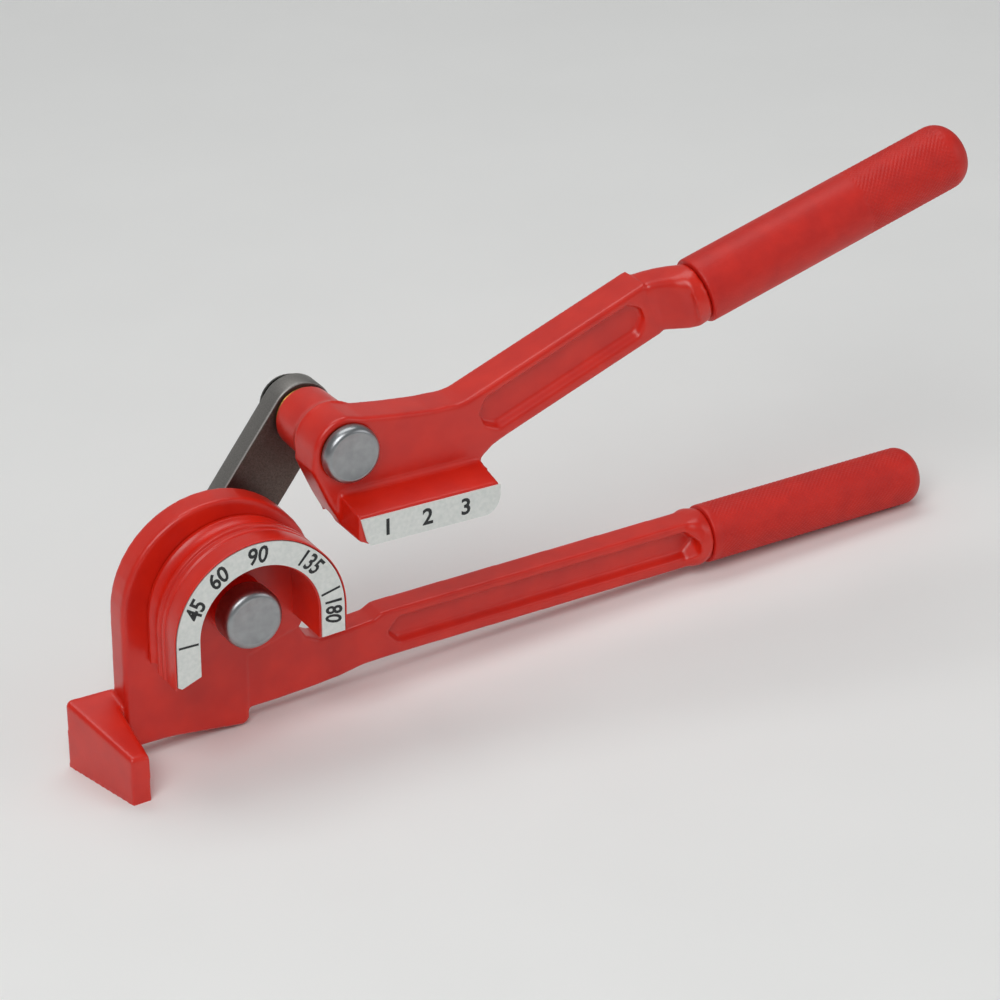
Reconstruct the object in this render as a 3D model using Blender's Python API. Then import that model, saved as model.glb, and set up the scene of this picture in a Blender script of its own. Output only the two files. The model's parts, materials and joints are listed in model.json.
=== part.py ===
"""Lever bender for small tube: two cast handles, a grooved die and a steel link.

Lengths are in metres. The tool frame has its origin on the main pin's axis in the
plane of the die's front face: X runs along the lower handle, Y goes from the front
of the tool to its back, and Z is up. The whole tool then leans on its foot and on
the end of its lower grip, as it does on a bench.
"""
import math

import bmesh
import bpy
from mathutils import Matrix, Vector

for old in list(bpy.data.objects):
    bpy.data.objects.remove(old, do_unlink=True)

# Clearances and overruns
SEAT_GAP = 0.0003
RUNNING_GAP = 0.00015
OVERRUN = 0.004
MERGE = 0.00002
CASTING_EDGE = 0.0007
TURNED_EDGE = 0.0002

# Tube that the tool bends, and the die that it is bent round
TUBE_RADIUS = 0.00405
GROOVE_FLOOR_RADIUS = 0.0228
DIE_RADIUS = 0.0251
DIE_DEPTH = 0.0186
GROOVE_Y = 0.0146
POCKET_RADIUS = 0.0173
POCKET_DEPTH = 0.0162
RIM_RING_1_Y = 0.0063
RIM_RING_1_WIDTH = 0.0008
RIM_RING_1_DEPTH = 0.0005
RIM_RING_2_Y = 0.0089
RIM_RING_2_WIDTH = 0.0014
RIM_RING_2_DEPTH = 0.0008
LEFT_LEG_INNER = 0.0099
LEFT_LEG_OUTER = 0.013
LEFT_LEG_TOE = 0.0011
TOE_REACH_SHARE = 4
RIGHT_LEG_INNER = 0.0082
RIGHT_LEG_OUTER = 0.0078
HUB_RADIUS = 0.0074
HUB_FRONT_Y = 0.0108

# Degree scale, a plate let into the die's front face
SCALE_OUTER_RADIUS = 0.02445
SCALE_INNER_RADIUS = 0.01775
SCALE_THICKNESS = 0.0005

# Lower casting: block, neck, arm and tang
FLANGE_RADIUS = 0.0283
FLANGE_SHIFT_X = -0.0028
FLANGE_SHIFT_Z = 0.0008
BLOCK_THICKNESS = 0.0081
BLOCK_BOTTOM = 0.0376
BLOCK_LEFT_BOTTOM = 0.0345
BLOCK_TOE_X = 0.0036
BLOCK_TOE_DROP = 0.0023
BLOCK_STEP_X = 0.0052
BLOCK_TOE_RISE = 0.0015
BACK_BOSS_RADIUS = 0.0125
BACK_BOSS_LENGTH = 0.0054
NECK_SET_BACK = 0.0005
ARM_THICKNESS = 0.0084
ARM_HEIGHT = 0.0142
ARM_AXIS_DROP = 0.0256
ARM_TILT = math.radians(1.18)
ARM_START_X = 0.048
ARM_END_X = 0.1485
NECK_ROOT_DROP = 0.0101
NECK_ROOT_ANGLE = math.radians(-33)
NECK_ROOT_TOP = 0.012
NECK_WAIST_RISE = 0.005
NECK_TOP_SHARES = ((0.09, 0.62), (0.22, 0.05), (0.58, 0.25), (0.83, 0.45), (0.93, 0.95))
NECK_BOTTOM_SHARES = ((0.20, 0.90), (0.43, 0.72), (0.64, 0.48), (0.82, 0.10))
NECK_BOTTOM_DROP = 0.0041
RECESS_DEPTH = 0.0024
RECESS_FLANGE_TOP = 0.0026
RECESS_FLANGE_BOTTOM = 0.0032
RECESS_RAMP = 0.0016
RECESS_END_ROUND = 0.0033
RECESS_MARGIN = 0.0035

# Foot, a wedge that also backs the tube on the left
FOOT_FRONT_LEFT_X = -0.0387
FOOT_FRONT_RIGHT_X = -0.0334
FOOT_BACK_LEFT_X = -0.0446
FOOT_INNER_BACK_X = -0.0322
FOOT_CORNER = 0.0013
FOOT_ROOT = 0.001
FOOT_ROOT_Y = 0.002
FOOT_BACK_REACH = 0.0014
FOOT_TOP_BACK_Z = -0.0233
FOOT_TOP_FRONT_Z = -0.0289
FOOT_SOLE_Z = -0.0423
FOOT_SOLE_X = -0.033

# Grips and the tangs that carry them
GRIP_GAP = 0.0003
LOWER_GRIP_RADIUS = 0.0084
LOWER_GRIP_LENGTH = 0.0725
LOWER_GRIP_ROUND = 0.0052
UPPER_GRIP_RADIUS = 0.00935
UPPER_GRIP_LENGTH = 0.088
UPPER_GRIP_ROUND = 0.0068
GRIP_LIP = 0.0004
TANG_RADIUS = 0.0052
TANG_LENGTH = 0.056
TANG_TIP_SPACE = 0.0015
LOWER_COLLAR_RADIUS = 0.0077
UPPER_COLLAR_RADIUS = 0.0084
GRIP_COLLAR_LENGTH = 0.0022
ARM_SWELL_LENGTH = 0.008
ARM_LAP = 0.003
SWELL_SET_IN = 0.0002
ROUND_POWER = 2
EASE_A = 3
EASE_B = 2
EASE_SHARE_Z = 0.4
ROUND_REACH_SHARE = 0.93
CRANK_SQUARE = 5

# Link and the upper pivot that it carries
LINK_SPACING = 0.0504
LINK_ANGLE = math.radians(53.4)
LINK_HALF_WIDTH = 0.0091
LINK_THICKNESS = 0.007

# Pins, bushes, washers and rings
PIN_RADIUS = 0.006
BUSH_WALL = 0.0012
MAIN_HEAD_RADIUS = 0.0085
MAIN_HEAD_LENGTH = 0.0071
UPPER_HEAD_RADIUS = 0.0081
UPPER_HEAD_LENGTH = 0.0035
HEAD_FACE_RADIUS = 0.0066
HEAD_EDGE_DEPTHS = (0.0002, 0.0006, 0.0013, 0.0022)
HEAD_EDGE_SHARES = (0.3, 0.65, 0.9, 1)
PIN_END_CHAMFER = 0.0006
MAIN_WASHER_RADIUS = 0.0108
UPPER_WASHER_RADIUS = 0.0079
BACK_WASHER_RADIUS = 0.008
THRUST_THICKNESS = 0.0005
BACK_WASHER_THICKNESS = 0.0008
WAVE_WIRE = 0.0005
WAVE_HEIGHT = 0.0003
WAVES = 3
WAVE_INNER_SHARE = 0.8
RING_THICKNESS = 0.0008
RING_RADIUS = 0.0074
RING_GROOVE_DEPTH = 0.0009
RING_OPENING = math.radians(70)
PIN_TAIL = 0.0012

# Upper casting: head, shoe, arm and tang, in a frame on the upper pin's axis
HEAD_FRONT_Y = 0.0072
EYE_RADIUS = 0.0098
BOSS_RADIUS = 0.0086
BOSS_FLARE = 0.0004
SHOE_FACE_REACH = 0.0114
SHOE_DROP = 0.0227
SHOE_LEFT_X = -0.0026
SHOE_RIGHT_X = 0.0395
SHOE_BEVEL_X = 0.0029
SHOE_BEVEL_Z = 0.0015
SHOE_END_ROUND_X = 0.0048
SHOE_END_ROUND_Z = 0.0062
SHOE_LIP_HEIGHT = 0.0083
SHOE_ROOT_HEIGHT = 0.011
SHOE_ROOT_Y = 0.0014
SHOE_BACK_SET_IN = 0.0002
SHOE_SCALE_THICKNESS = 0.0005
SHOE_SCALE_SLANT = 0.0017
HEAD_WAIST_X = -0.0102
HEAD_WAIST_Z = -0.004
HEAD_HEEL_X = -0.0056
HEAD_HEEL_Z = -0.0145
SADDLE_HEIGHT = 0.0055
SADDLE_X = 0.033
SADDLE_SHARES = ((0.14, 0.68), (0.46, 0.32), (0.74, 0.08), (1, 0))
NOTCH_X = 0.0399
NOTCH_REACH = 0.0039
NOTCH_HEIGHT = 0.0135
NOTCH_SHARES = ((0.1, 0.6), (0.12, 0.79), (1, 1))
UPPER_ARM_TILT = math.radians(21.3)
UPPER_ARM_MID_X = 0.0601
UPPER_ARM_MID_Z = 0.0064
UPPER_ARM_HEIGHT = 0.0167
UPPER_ARM_RISE_X = 0.0375
UPPER_ARM_FOOT_X = 0.0436
UPPER_RECESS_X = 0.0392
UPPER_ARM_LENGTH = 0.036
UPPER_GRIP_START_X = 0.1046
UPPER_GRIP_START_Z = 0.0233
UPPER_GRIP_TILT = math.radians(16.06)
UPPER_GRIP_Y = 0.0045

# Screws and dowels that hold the die on the block
DIE_FIXING_RADIUS = 0.0202
SCREW_RADIUS = 0.0014
SCREW_HEAD_RADIUS = 0.0027
SCREW_HEAD_HEIGHT = 0.0016
SCREW_GRIP = 0.0075
SCREW_SLOT_WIDTH = 0.0008
SCREW_SLOT_DEPTH = 0.0007
SCREW_ANGLES = (math.radians(42), math.radians(138))
DOWEL_RADIUS = 0.00145
DOWEL_BITE = 0.0055
DOWEL_ANGLES = (math.radians(90), math.radians(180))

# Smoothness of round work
SIDES_PIN = 40
SIDES_LARGE = 56
SIDES_SMALL = 16
SIDES_GRIP = 32
ARC_STEPS = 28
GROOVE_STEPS = 8
ROUND_STEPS = 5
SHARP_ANGLE = math.radians(30)
MITRE_LIMIT_SHARE = 0.5

# Places along Y that follow from the sizes above
BLOCK_FRONT = DIE_DEPTH + SEAT_GAP
BLOCK_BACK = BLOCK_FRONT + BLOCK_THICKNESS
ARM_FRONT = BLOCK_FRONT + NECK_SET_BACK
ARM_BACK = ARM_FRONT + ARM_THICKNESS
ARM_MID = (ARM_FRONT + ARM_BACK) / 2
STACK_FRONT = BLOCK_BACK + BACK_BOSS_LENGTH
THRUST_FRONT = STACK_FRONT + RUNNING_GAP
LINK_FRONT = THRUST_FRONT + THRUST_THICKNESS + RUNNING_GAP
LINK_BACK = LINK_FRONT + LINK_THICKNESS
BACK_WASHER_FRONT = LINK_BACK + SEAT_GAP
WAVE_FRONT = BACK_WASHER_FRONT + BACK_WASHER_THICKNESS + SEAT_GAP
RING_FRONT = WAVE_FRONT + WAVE_WIRE + WAVE_HEIGHT + SEAT_GAP
PIN_BACK = RING_FRONT + RING_THICKNESS + SEAT_GAP + PIN_TAIL
HEAD_BACK = DIE_DEPTH
UPPER_ARM_MID_Y = (HEAD_FRONT_Y + HEAD_BACK) / 2
SHOE_FACE_Y = HEAD_FRONT_Y - SHOE_FACE_REACH
SHOE_CAST_Y = SHOE_FACE_Y + SHOE_SCALE_THICKNESS + SEAT_GAP
BUSH_INNER = PIN_RADIUS + RUNNING_GAP
BUSH_OUTER = BUSH_INNER + BUSH_WALL
BORE_RADIUS = BUSH_OUTER + RUNNING_GAP
HALF_TURN = math.pi
FULL_TURN = math.tau
QUARTER_TURN = math.pi / 2

# Places of the two axes, in the tool frame
MAIN_AXIS = Vector((0, 0, 0))
UPPER_AXIS = Vector((LINK_SPACING * math.cos(LINK_ANGLE), 0, LINK_SPACING * math.sin(LINK_ANGLE)))


def material(name, colour, roughness, metallic):
    """A Principled material with one colour."""
    mat = bpy.data.materials.new(name)
    mat.use_nodes = True
    shader = mat.node_tree.nodes["Principled BSDF"]
    shader.inputs["Base Color"].default_value = (*colour, 1)
    shader.inputs["Roughness"].default_value = roughness
    shader.inputs["Metallic"].default_value = metallic
    return mat


RED_COAT = material("red_coat", (0.75, 0.02, 0.01), 0.45, 0)
RED_GRIP = material("red_grip", (0.70, 0.02, 0.01), 0.55, 0)
STEEL = material("steel", (0.45, 0.46, 0.47), 0.35, 1)
DARK_STEEL = material("dark_steel", (0.24, 0.23, 0.22), 0.5, 1)
BRONZE = material("bronze", (0.55, 0.36, 0.16), 0.4, 1)
WHITE_PLATE = material("white_plate", (0.72, 0.75, 0.74), 0.4, 0)


def object_from(name, mesh_tool, mat, smooth=True):
    """Turn a bmesh into a scene object with one material, its faces pointing out."""
    bmesh.ops.recalc_face_normals(mesh_tool, faces=mesh_tool.faces)
    mesh = bpy.data.meshes.new(name)
    mesh_tool.to_mesh(mesh)
    mesh_tool.free()
    mesh.materials.append(mat)
    if smooth:
        mesh.shade_smooth()
        mesh.set_sharp_from_angle(angle=SHARP_ANGLE)
    made = bpy.data.objects.new(name, mesh)
    bpy.context.scene.collection.objects.link(made)
    return made


def arc(radius, start, end, steps, centre=(0, 0)):
    """Points (x, z) of an arc, from the start angle to the end angle."""
    turn = (end - start) / steps
    return [(centre[0] + radius * math.cos(start + turn * i),
             centre[1] + radius * math.sin(start + turn * i)) for i in range(steps + 1)]


def inset(outline, distance):
    """The outline moved inwards; its points run anticlockwise as seen from the front."""
    moved = []
    count = len(outline)
    for i, here in enumerate(outline):
        before = Vector(outline[i - 1])
        after = Vector(outline[(i + 1) % count])
        into = (Vector(here) - before).normalized()
        out = (after - Vector(here)).normalized()
        normal = Vector((-into.y - out.y, into.x + out.x)).normalized()
        reach = distance / max(normal.dot(Vector((-out.y, out.x))), MITRE_LIMIT_SHARE)
        moved.append((here[0] + normal.x * reach, here[1] + normal.y * reach))
    return moved


def anticlockwise(outline):
    """The same outline with its points in anticlockwise order."""
    area = 0
    for i, (x, z) in enumerate(outline):
        area += outline[i - 1][0] * z - x * outline[i - 1][1]
    return list(outline) if area > 0 else list(reversed(outline))


def skin(rings, close_loop=False, flat=True):
    """A bmesh over rings of 3-D points that all have as many points."""
    tool = bmesh.new()
    loops = [[tool.verts.new(point) for point in ring] for ring in rings]
    pairs = list(zip(loops, loops[1:]))
    if close_loop:
        pairs.append((loops[-1], loops[0]))
    for one, two in pairs:
        for i in range(len(one)):
            k = (i + 1) % len(one)
            tool.faces.new((one[i], one[k], two[k], two[i]))
    if not close_loop:
        tool.faces.new(loops[0])
        tool.faces.new(loops[-1])
    if not flat:
        bmesh.ops.triangulate(tool, faces=tool.faces)
    return tool


def prism(name, outline, front, back, mat, edge=0):
    """A plate with this outline between two places along Y, its edges chamfered."""
    outline = anticlockwise(outline)
    levels = [(front, outline), (back, outline)]
    if edge:
        small = inset(outline, edge)
        levels = [(front, small), (front + edge, outline), (back - edge, outline), (back, small)]
    rings = [[(x, y, z) for x, z in points] for y, points in levels]
    return object_from(name, skin(rings), mat, smooth=False)


def turned(name, profile, mat, sides, centre=MAIN_AXIS):
    """A piece turned about an axis along Y from (radius, y) points; radius 0 means a solid end."""
    solid = profile[0][0] == 0
    rings = []
    for radius, y in profile:
        if radius:
            rings.append([(centre.x + radius * math.cos(FULL_TURN * i / sides), y,
                           centre.z + radius * math.sin(FULL_TURN * i / sides)) for i in range(sides)])
    return object_from(name, skin(rings, close_loop=not solid), mat)


def boolean(target, others, operation):
    """Join or cut the target with the other objects, and drop those."""
    for other in others:
        step = target.modifiers.new(operation.lower(), "BOOLEAN")
        step.operation = operation
        step.solver = "EXACT"
        step.object = other
        other.hide_render = True
        other.display_type = "WIRE"
    bpy.context.view_layer.update()
    shaped = bpy.data.meshes.new_from_object(target.evaluated_get(bpy.context.evaluated_depsgraph_get()))
    target.modifiers.clear()
    tool = bmesh.new()
    tool.from_mesh(shaped)
    bmesh.ops.remove_doubles(tool, verts=tool.verts, dist=MERGE)
    bmesh.ops.dissolve_degenerate(tool, edges=tool.edges, dist=MERGE)
    tool.to_mesh(shaped)
    tool.free()
    kept = target.data.materials[0]
    target.data = shaped
    shaped.name = target.name
    shaped.materials.clear()
    shaped.materials.append(kept)
    for face in shaped.polygons:
        face.material_index = 0
    shaped.shade_smooth()
    shaped.set_sharp_from_angle(angle=SHARP_ANGLE)
    for other in others:
        bpy.data.objects.remove(other, do_unlink=True)
    return target


def join(target, others):
    return boolean(target, others, "UNION")


def cut(target, others):
    return boolean(target, others, "DIFFERENCE")


def cylinder(name, radius, front, back, mat, sides, centre=MAIN_AXIS, edge=0):
    """A plain or chamfered cylinder along Y."""
    if edge:
        profile = [(0, front), (radius - edge, front), (radius, front + edge),
                   (radius, back - edge), (radius - edge, back), (0, back)]
    else:
        profile = [(0, front), (radius, front), (radius, back), (0, back)]
    return turned(name, profile, mat, sides, centre)


def ring(name, inner, outer, front, back, mat, sides, centre=MAIN_AXIS, edge=0):
    """A washer or bush along Y, with its outer edges chamfered."""
    profile = [(inner, front), (outer - edge, front), (outer, front + edge),
               (outer, back - edge), (outer - edge, back), (inner, back)]
    if not edge:
        profile = [(inner, front), (outer, front), (outer, back), (inner, back)]
    return turned(name, profile, mat, sides, centre)


def along(origin, tilt, u, v=0.0):
    """The point (x, z) at u along and v across a line that leaves origin at a tilt."""
    return (origin[0] + u * math.cos(tilt) - v * math.sin(tilt),
            origin[1] + u * math.sin(tilt) + v * math.cos(tilt))


def fixing_place(angle):
    """Where a screw or dowel of the die sits, in the tool frame."""
    return Vector((DIE_FIXING_RADIUS * math.cos(angle), 0, DIE_FIXING_RADIUS * math.sin(angle)))


# Bending die: one profile swept round the top and down both legs
def die_profile():
    """(radius, y) points of the horseshoe's section, from the pocket round the rim."""
    points = [(POCKET_RADIUS, 0), (DIE_RADIUS - TURNED_EDGE, 0), (DIE_RADIUS, TURNED_EDGE)]
    for middle, width, depth in ((RIM_RING_1_Y, RIM_RING_1_WIDTH, RIM_RING_1_DEPTH),
                                 (RIM_RING_2_Y, RIM_RING_2_WIDTH, RIM_RING_2_DEPTH)):
        points += [(DIE_RADIUS, middle - width / 2), (DIE_RADIUS - depth, middle),
                   (DIE_RADIUS, middle + width / 2)]
    tube_middle = GROOVE_FLOOR_RADIUS + TUBE_RADIUS
    open_angle = math.acos((tube_middle - DIE_RADIUS) / TUBE_RADIUS)
    for i in range(GROOVE_STEPS + 1):
        angle = open_angle - (open_angle + QUARTER_TURN / 2) * i / GROOVE_STEPS
        points.append((tube_middle - TUBE_RADIUS * math.cos(angle),
                       GROOVE_Y - TUBE_RADIUS * math.sin(angle)))
    points.append((points[-1][0], DIE_DEPTH))
    points.append((POCKET_RADIUS, DIE_DEPTH))
    return points


def leg_end(radius, inner, outer):
    """How far down a leg of the horseshoe ends at a radius, as a z in the tool frame."""
    share = (radius - POCKET_RADIUS) / (DIE_RADIUS - POCKET_RADIUS)
    return -(inner + (outer - inner) * share)


def right_end(radius):
    return leg_end(radius, RIGHT_LEG_INNER, RIGHT_LEG_OUTER)


def left_end(radius):
    return leg_end(radius, LEFT_LEG_INNER, LEFT_LEG_OUTER)


def horseshoe_rings(profile):
    """The profile at steps along the horseshoe, from the right leg's end to the left one's."""
    rings = [[(radius, y, right_end(radius)) for radius, y in profile]]
    for i in range(ARC_STEPS + 1):
        angle = HALF_TURN * i / ARC_STEPS
        rings.append([(radius * math.cos(angle), y, radius * math.sin(angle)) for radius, y in profile])
    rings.append([(-radius, y, left_end(radius)) for radius, y in profile])
    return rings


def toe_cutter():
    """Wedge that takes the corner off the left leg's outer end."""
    one = Vector((-DIE_RADIUS, left_end(DIE_RADIUS) + LEFT_LEG_TOE))
    two = Vector((-DIE_RADIUS + LEFT_LEG_TOE, left_end(DIE_RADIUS - LEFT_LEG_TOE)))
    reach = (two - one) * TOE_REACH_SHARE
    one -= reach
    two += reach
    outline = [tuple(one), (one.x - OVERRUN, two.y - OVERRUN), tuple(two)]
    return prism("toe", outline, -OVERRUN, DIE_DEPTH + OVERRUN, RED_COAT)


def make_die():
    die = object_from("bending_die", skin(horseshoe_rings(die_profile())), RED_COAT)
    web_reach = POCKET_RADIUS + SEAT_GAP
    web_outline = arc(web_reach, 0, HALF_TURN, ARC_STEPS)
    web_outline += [(-web_reach, left_end(POCKET_RADIUS) + SEAT_GAP),
                    (web_reach, right_end(POCKET_RADIUS) + SEAT_GAP)]
    web = prism("web", web_outline, POCKET_DEPTH, DIE_DEPTH - SEAT_GAP, RED_COAT)
    hub = cylinder("hub", HUB_RADIUS, HUB_FRONT_Y, DIE_DEPTH - RUNNING_GAP, RED_COAT, SIDES_PIN,
                   edge=RUNNING_GAP)
    join(die, [web, hub])
    cutters = [toe_cutter()]
    cutters.append(cylinder("bore", PIN_RADIUS + RUNNING_GAP, -OVERRUN, DIE_DEPTH + OVERRUN, RED_COAT,
                            SIDES_PIN))
    # The scale's seat is open to the pocket and at the ends of both legs
    seat_radius = SCALE_OUTER_RADIUS + SEAT_GAP
    seat = arc(seat_radius, 0, HALF_TURN, ARC_STEPS + 1)
    seat += [(-seat_radius, left_end(DIE_RADIUS) - OVERRUN), (seat_radius, left_end(DIE_RADIUS) - OVERRUN)]
    cutters.append(prism("seat", seat, -OVERRUN, SCALE_THICKNESS + SEAT_GAP, RED_COAT))
    for angle in SCREW_ANGLES:
        cutters.append(cylinder("tap", SCREW_RADIUS + RUNNING_GAP, DIE_DEPTH - SCREW_GRIP - SEAT_GAP,
                                DIE_DEPTH + OVERRUN, RED_COAT, SIDES_SMALL, fixing_place(angle)))
    for angle in DOWEL_ANGLES:
        cutters.append(cylinder("ream", DOWEL_RADIUS + RUNNING_GAP, DIE_DEPTH - DOWEL_BITE - SEAT_GAP,
                                DIE_DEPTH + OVERRUN, RED_COAT, SIDES_SMALL, fixing_place(angle)))
    cut(die, cutters)
    return die


def scale_outline():
    """Outline (x, z) of the degree scale: an arch with two short straight legs."""
    outer = SCALE_OUTER_RADIUS
    inner = SCALE_INNER_RADIUS
    points = [(outer, right_end(outer) + SEAT_GAP)]
    points += arc(outer, 0, HALF_TURN, ARC_STEPS)
    points += [(-outer, left_end(outer) + LEFT_LEG_TOE + SEAT_GAP),
               (-outer + LEFT_LEG_TOE, left_end(outer - LEFT_LEG_TOE) + SEAT_GAP),
               (-inner, left_end(inner) + SEAT_GAP)]
    points += list(reversed(arc(inner, 0, HALF_TURN, ARC_STEPS)))
    points.append((inner, right_end(inner) + SEAT_GAP))
    return points


# Lower casting
def arm_point(u, v):
    """Point (x, z) of the lower arm, u from the main axis and v above the arm's middle."""
    return along((0, -ARM_AXIS_DROP), ARM_TILT, u, v)


def neck_outline():
    """Outline (x, z) of the neck and arm, with its root inside the block."""
    half = ARM_HEIGHT / 2
    root_radius = FLANGE_RADIUS - SEAT_GAP
    root_top = (FLANGE_SHIFT_X + root_radius * math.cos(NECK_ROOT_ANGLE),
                FLANGE_SHIFT_Z + root_radius * math.sin(NECK_ROOT_ANGLE))
    shoulder = arm_point(ARM_START_X, half)
    hip = arm_point(ARM_START_X, -half)
    low = -ARM_AXIS_DROP - NECK_ROOT_DROP
    points = [(0, low), (BLOCK_STEP_X, low)]
    for along_share, drop_share in NECK_BOTTOM_SHARES:
        points.append((BLOCK_STEP_X + (hip[0] - BLOCK_STEP_X) * along_share,
                       hip[1] - NECK_BOTTOM_DROP * drop_share))
    points += [hip, arm_point(ARM_END_X - ARM_LAP, -half), arm_point(ARM_END_X - ARM_LAP, half), shoulder]
    waist = -ARM_AXIS_DROP + NECK_WAIST_RISE
    for along_share, rise_share in reversed(NECK_TOP_SHARES):
        points.append((root_top[0] + (shoulder[0] - root_top[0]) * along_share,
                       waist + (shoulder[1] - waist) * rise_share))
    points += [root_top, (0, -NECK_ROOT_TOP)]
    return points


def recess(name, origin, tilt, start, end, height, side_y, into, mat):
    """Cutter for one recess of an arm: a flat floor, and a ramp along its lower side."""
    top = height / 2 - RECESS_FLANGE_TOP
    bottom = -height / 2 + RECESS_FLANGE_BOTTOM
    levels = []
    for depth, low in ((-OVERRUN, bottom - RECESS_RAMP * OVERRUN / RECESS_DEPTH),
                       (RECESS_DEPTH, bottom + RECESS_RAMP)):
        points = [(start + RECESS_END_ROUND, low), (end - RECESS_END_ROUND, low),
                  (end, low + RECESS_END_ROUND), (end, top - RECESS_END_ROUND),
                  (end - RECESS_END_ROUND, top), (start + RECESS_END_ROUND, top),
                  (start, top - RECESS_END_ROUND), (start, low + RECESS_END_ROUND)]
        y = side_y + into * depth
        levels.append([(*along(origin, tilt, u, v), y) for u, v in points])
    rings = [[(x, y, z) for x, z, y in level] for level in levels]
    return object_from(name, skin(rings), mat, smooth=False)


def section(centre, tilt, half_height, half_depth, power, count):
    """Closed ring of points across a bar that leaves centre at a tilt in XZ."""
    points = []
    for i in range(count):
        angle = FULL_TURN * i / count
        c, s = math.cos(angle), math.sin(angle)
        v = half_height * math.copysign(abs(s) ** (2 / power), s)
        w = half_depth * math.copysign(abs(c) ** (2 / power), c)
        x, z = along((centre[0], centre[2]), tilt, 0, v)
        points.append((x, centre[1] + w, z))
    return points


def tang(name, start, tilt, collar, length, mat):
    """Collar and tang that leave an arm's end and go up the grip's bore."""
    def place(u):
        x, z = along((start[0], start[2]), tilt, u)
        return (x, start[1], z)
    inner = place(-GRIP_COLLAR_LENGTH - OVERRUN / 2)
    rings = [section(inner, tilt, collar, collar, ROUND_POWER, SIDES_GRIP),
             section(place(0), tilt, collar, collar, ROUND_POWER, SIDES_GRIP),
             section(place(0), tilt, TANG_RADIUS, TANG_RADIUS, ROUND_POWER, SIDES_GRIP),
             section(place(length), tilt, TANG_RADIUS, TANG_RADIUS, ROUND_POWER, SIDES_GRIP)]
    return object_from(name, skin(rings), mat)


def floor_line():
    """Slope of the bench under the tool: from the foot's sole to the lower grip's end."""
    start = grip_start()
    reach = GRIP_GAP + LOWER_GRIP_LENGTH - LOWER_GRIP_ROUND
    low = along((start[0], start[2]), ARM_TILT, reach, -LOWER_GRIP_RADIUS)
    return math.atan2(low[1] - FOOT_SOLE_Z, low[0] - FOOT_SOLE_X)


def grip_start():
    """Where the lower arm ends and its tang begins, as (x, y, z)."""
    x, z = arm_point(ARM_END_X + GRIP_COLLAR_LENGTH, 0)
    return (x, ARM_MID, z)


def make_foot():
    """The foot: a wedge that narrows to the front, with its sole on the bench."""
    back = BLOCK_BACK + FOOT_BACK_REACH
    inner = FLANGE_SHIFT_X - FLANGE_RADIUS + FOOT_ROOT
    plan = [(FOOT_FRONT_LEFT_X, 0), (FOOT_FRONT_RIGHT_X, 0), (FOOT_INNER_BACK_X, BLOCK_FRONT + FOOT_ROOT),
            (inner, BLOCK_FRONT + FOOT_ROOT_Y), (inner, back), (FOOT_BACK_LEFT_X + FOOT_CORNER, back),
            (FOOT_BACK_LEFT_X, back - FOOT_CORNER)]
    slope = math.tan(floor_line())
    def top(y):
        return FOOT_TOP_FRONT_Z + (FOOT_TOP_BACK_Z - FOOT_TOP_FRONT_Z) * y / BLOCK_BACK
    def sole(x):
        return FOOT_SOLE_Z + (x - FOOT_SOLE_X) * slope
    edge = CASTING_EDGE
    small = inset(plan, edge)
    rings = [[(x, y, sole(x)) for x, y in plan],
             [(x, y, top(y) - edge) for x, y in plan],
             [(x, y, top(y)) for x, y in small]]
    return object_from("foot", skin(rings), RED_COAT, smooth=False)


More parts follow.
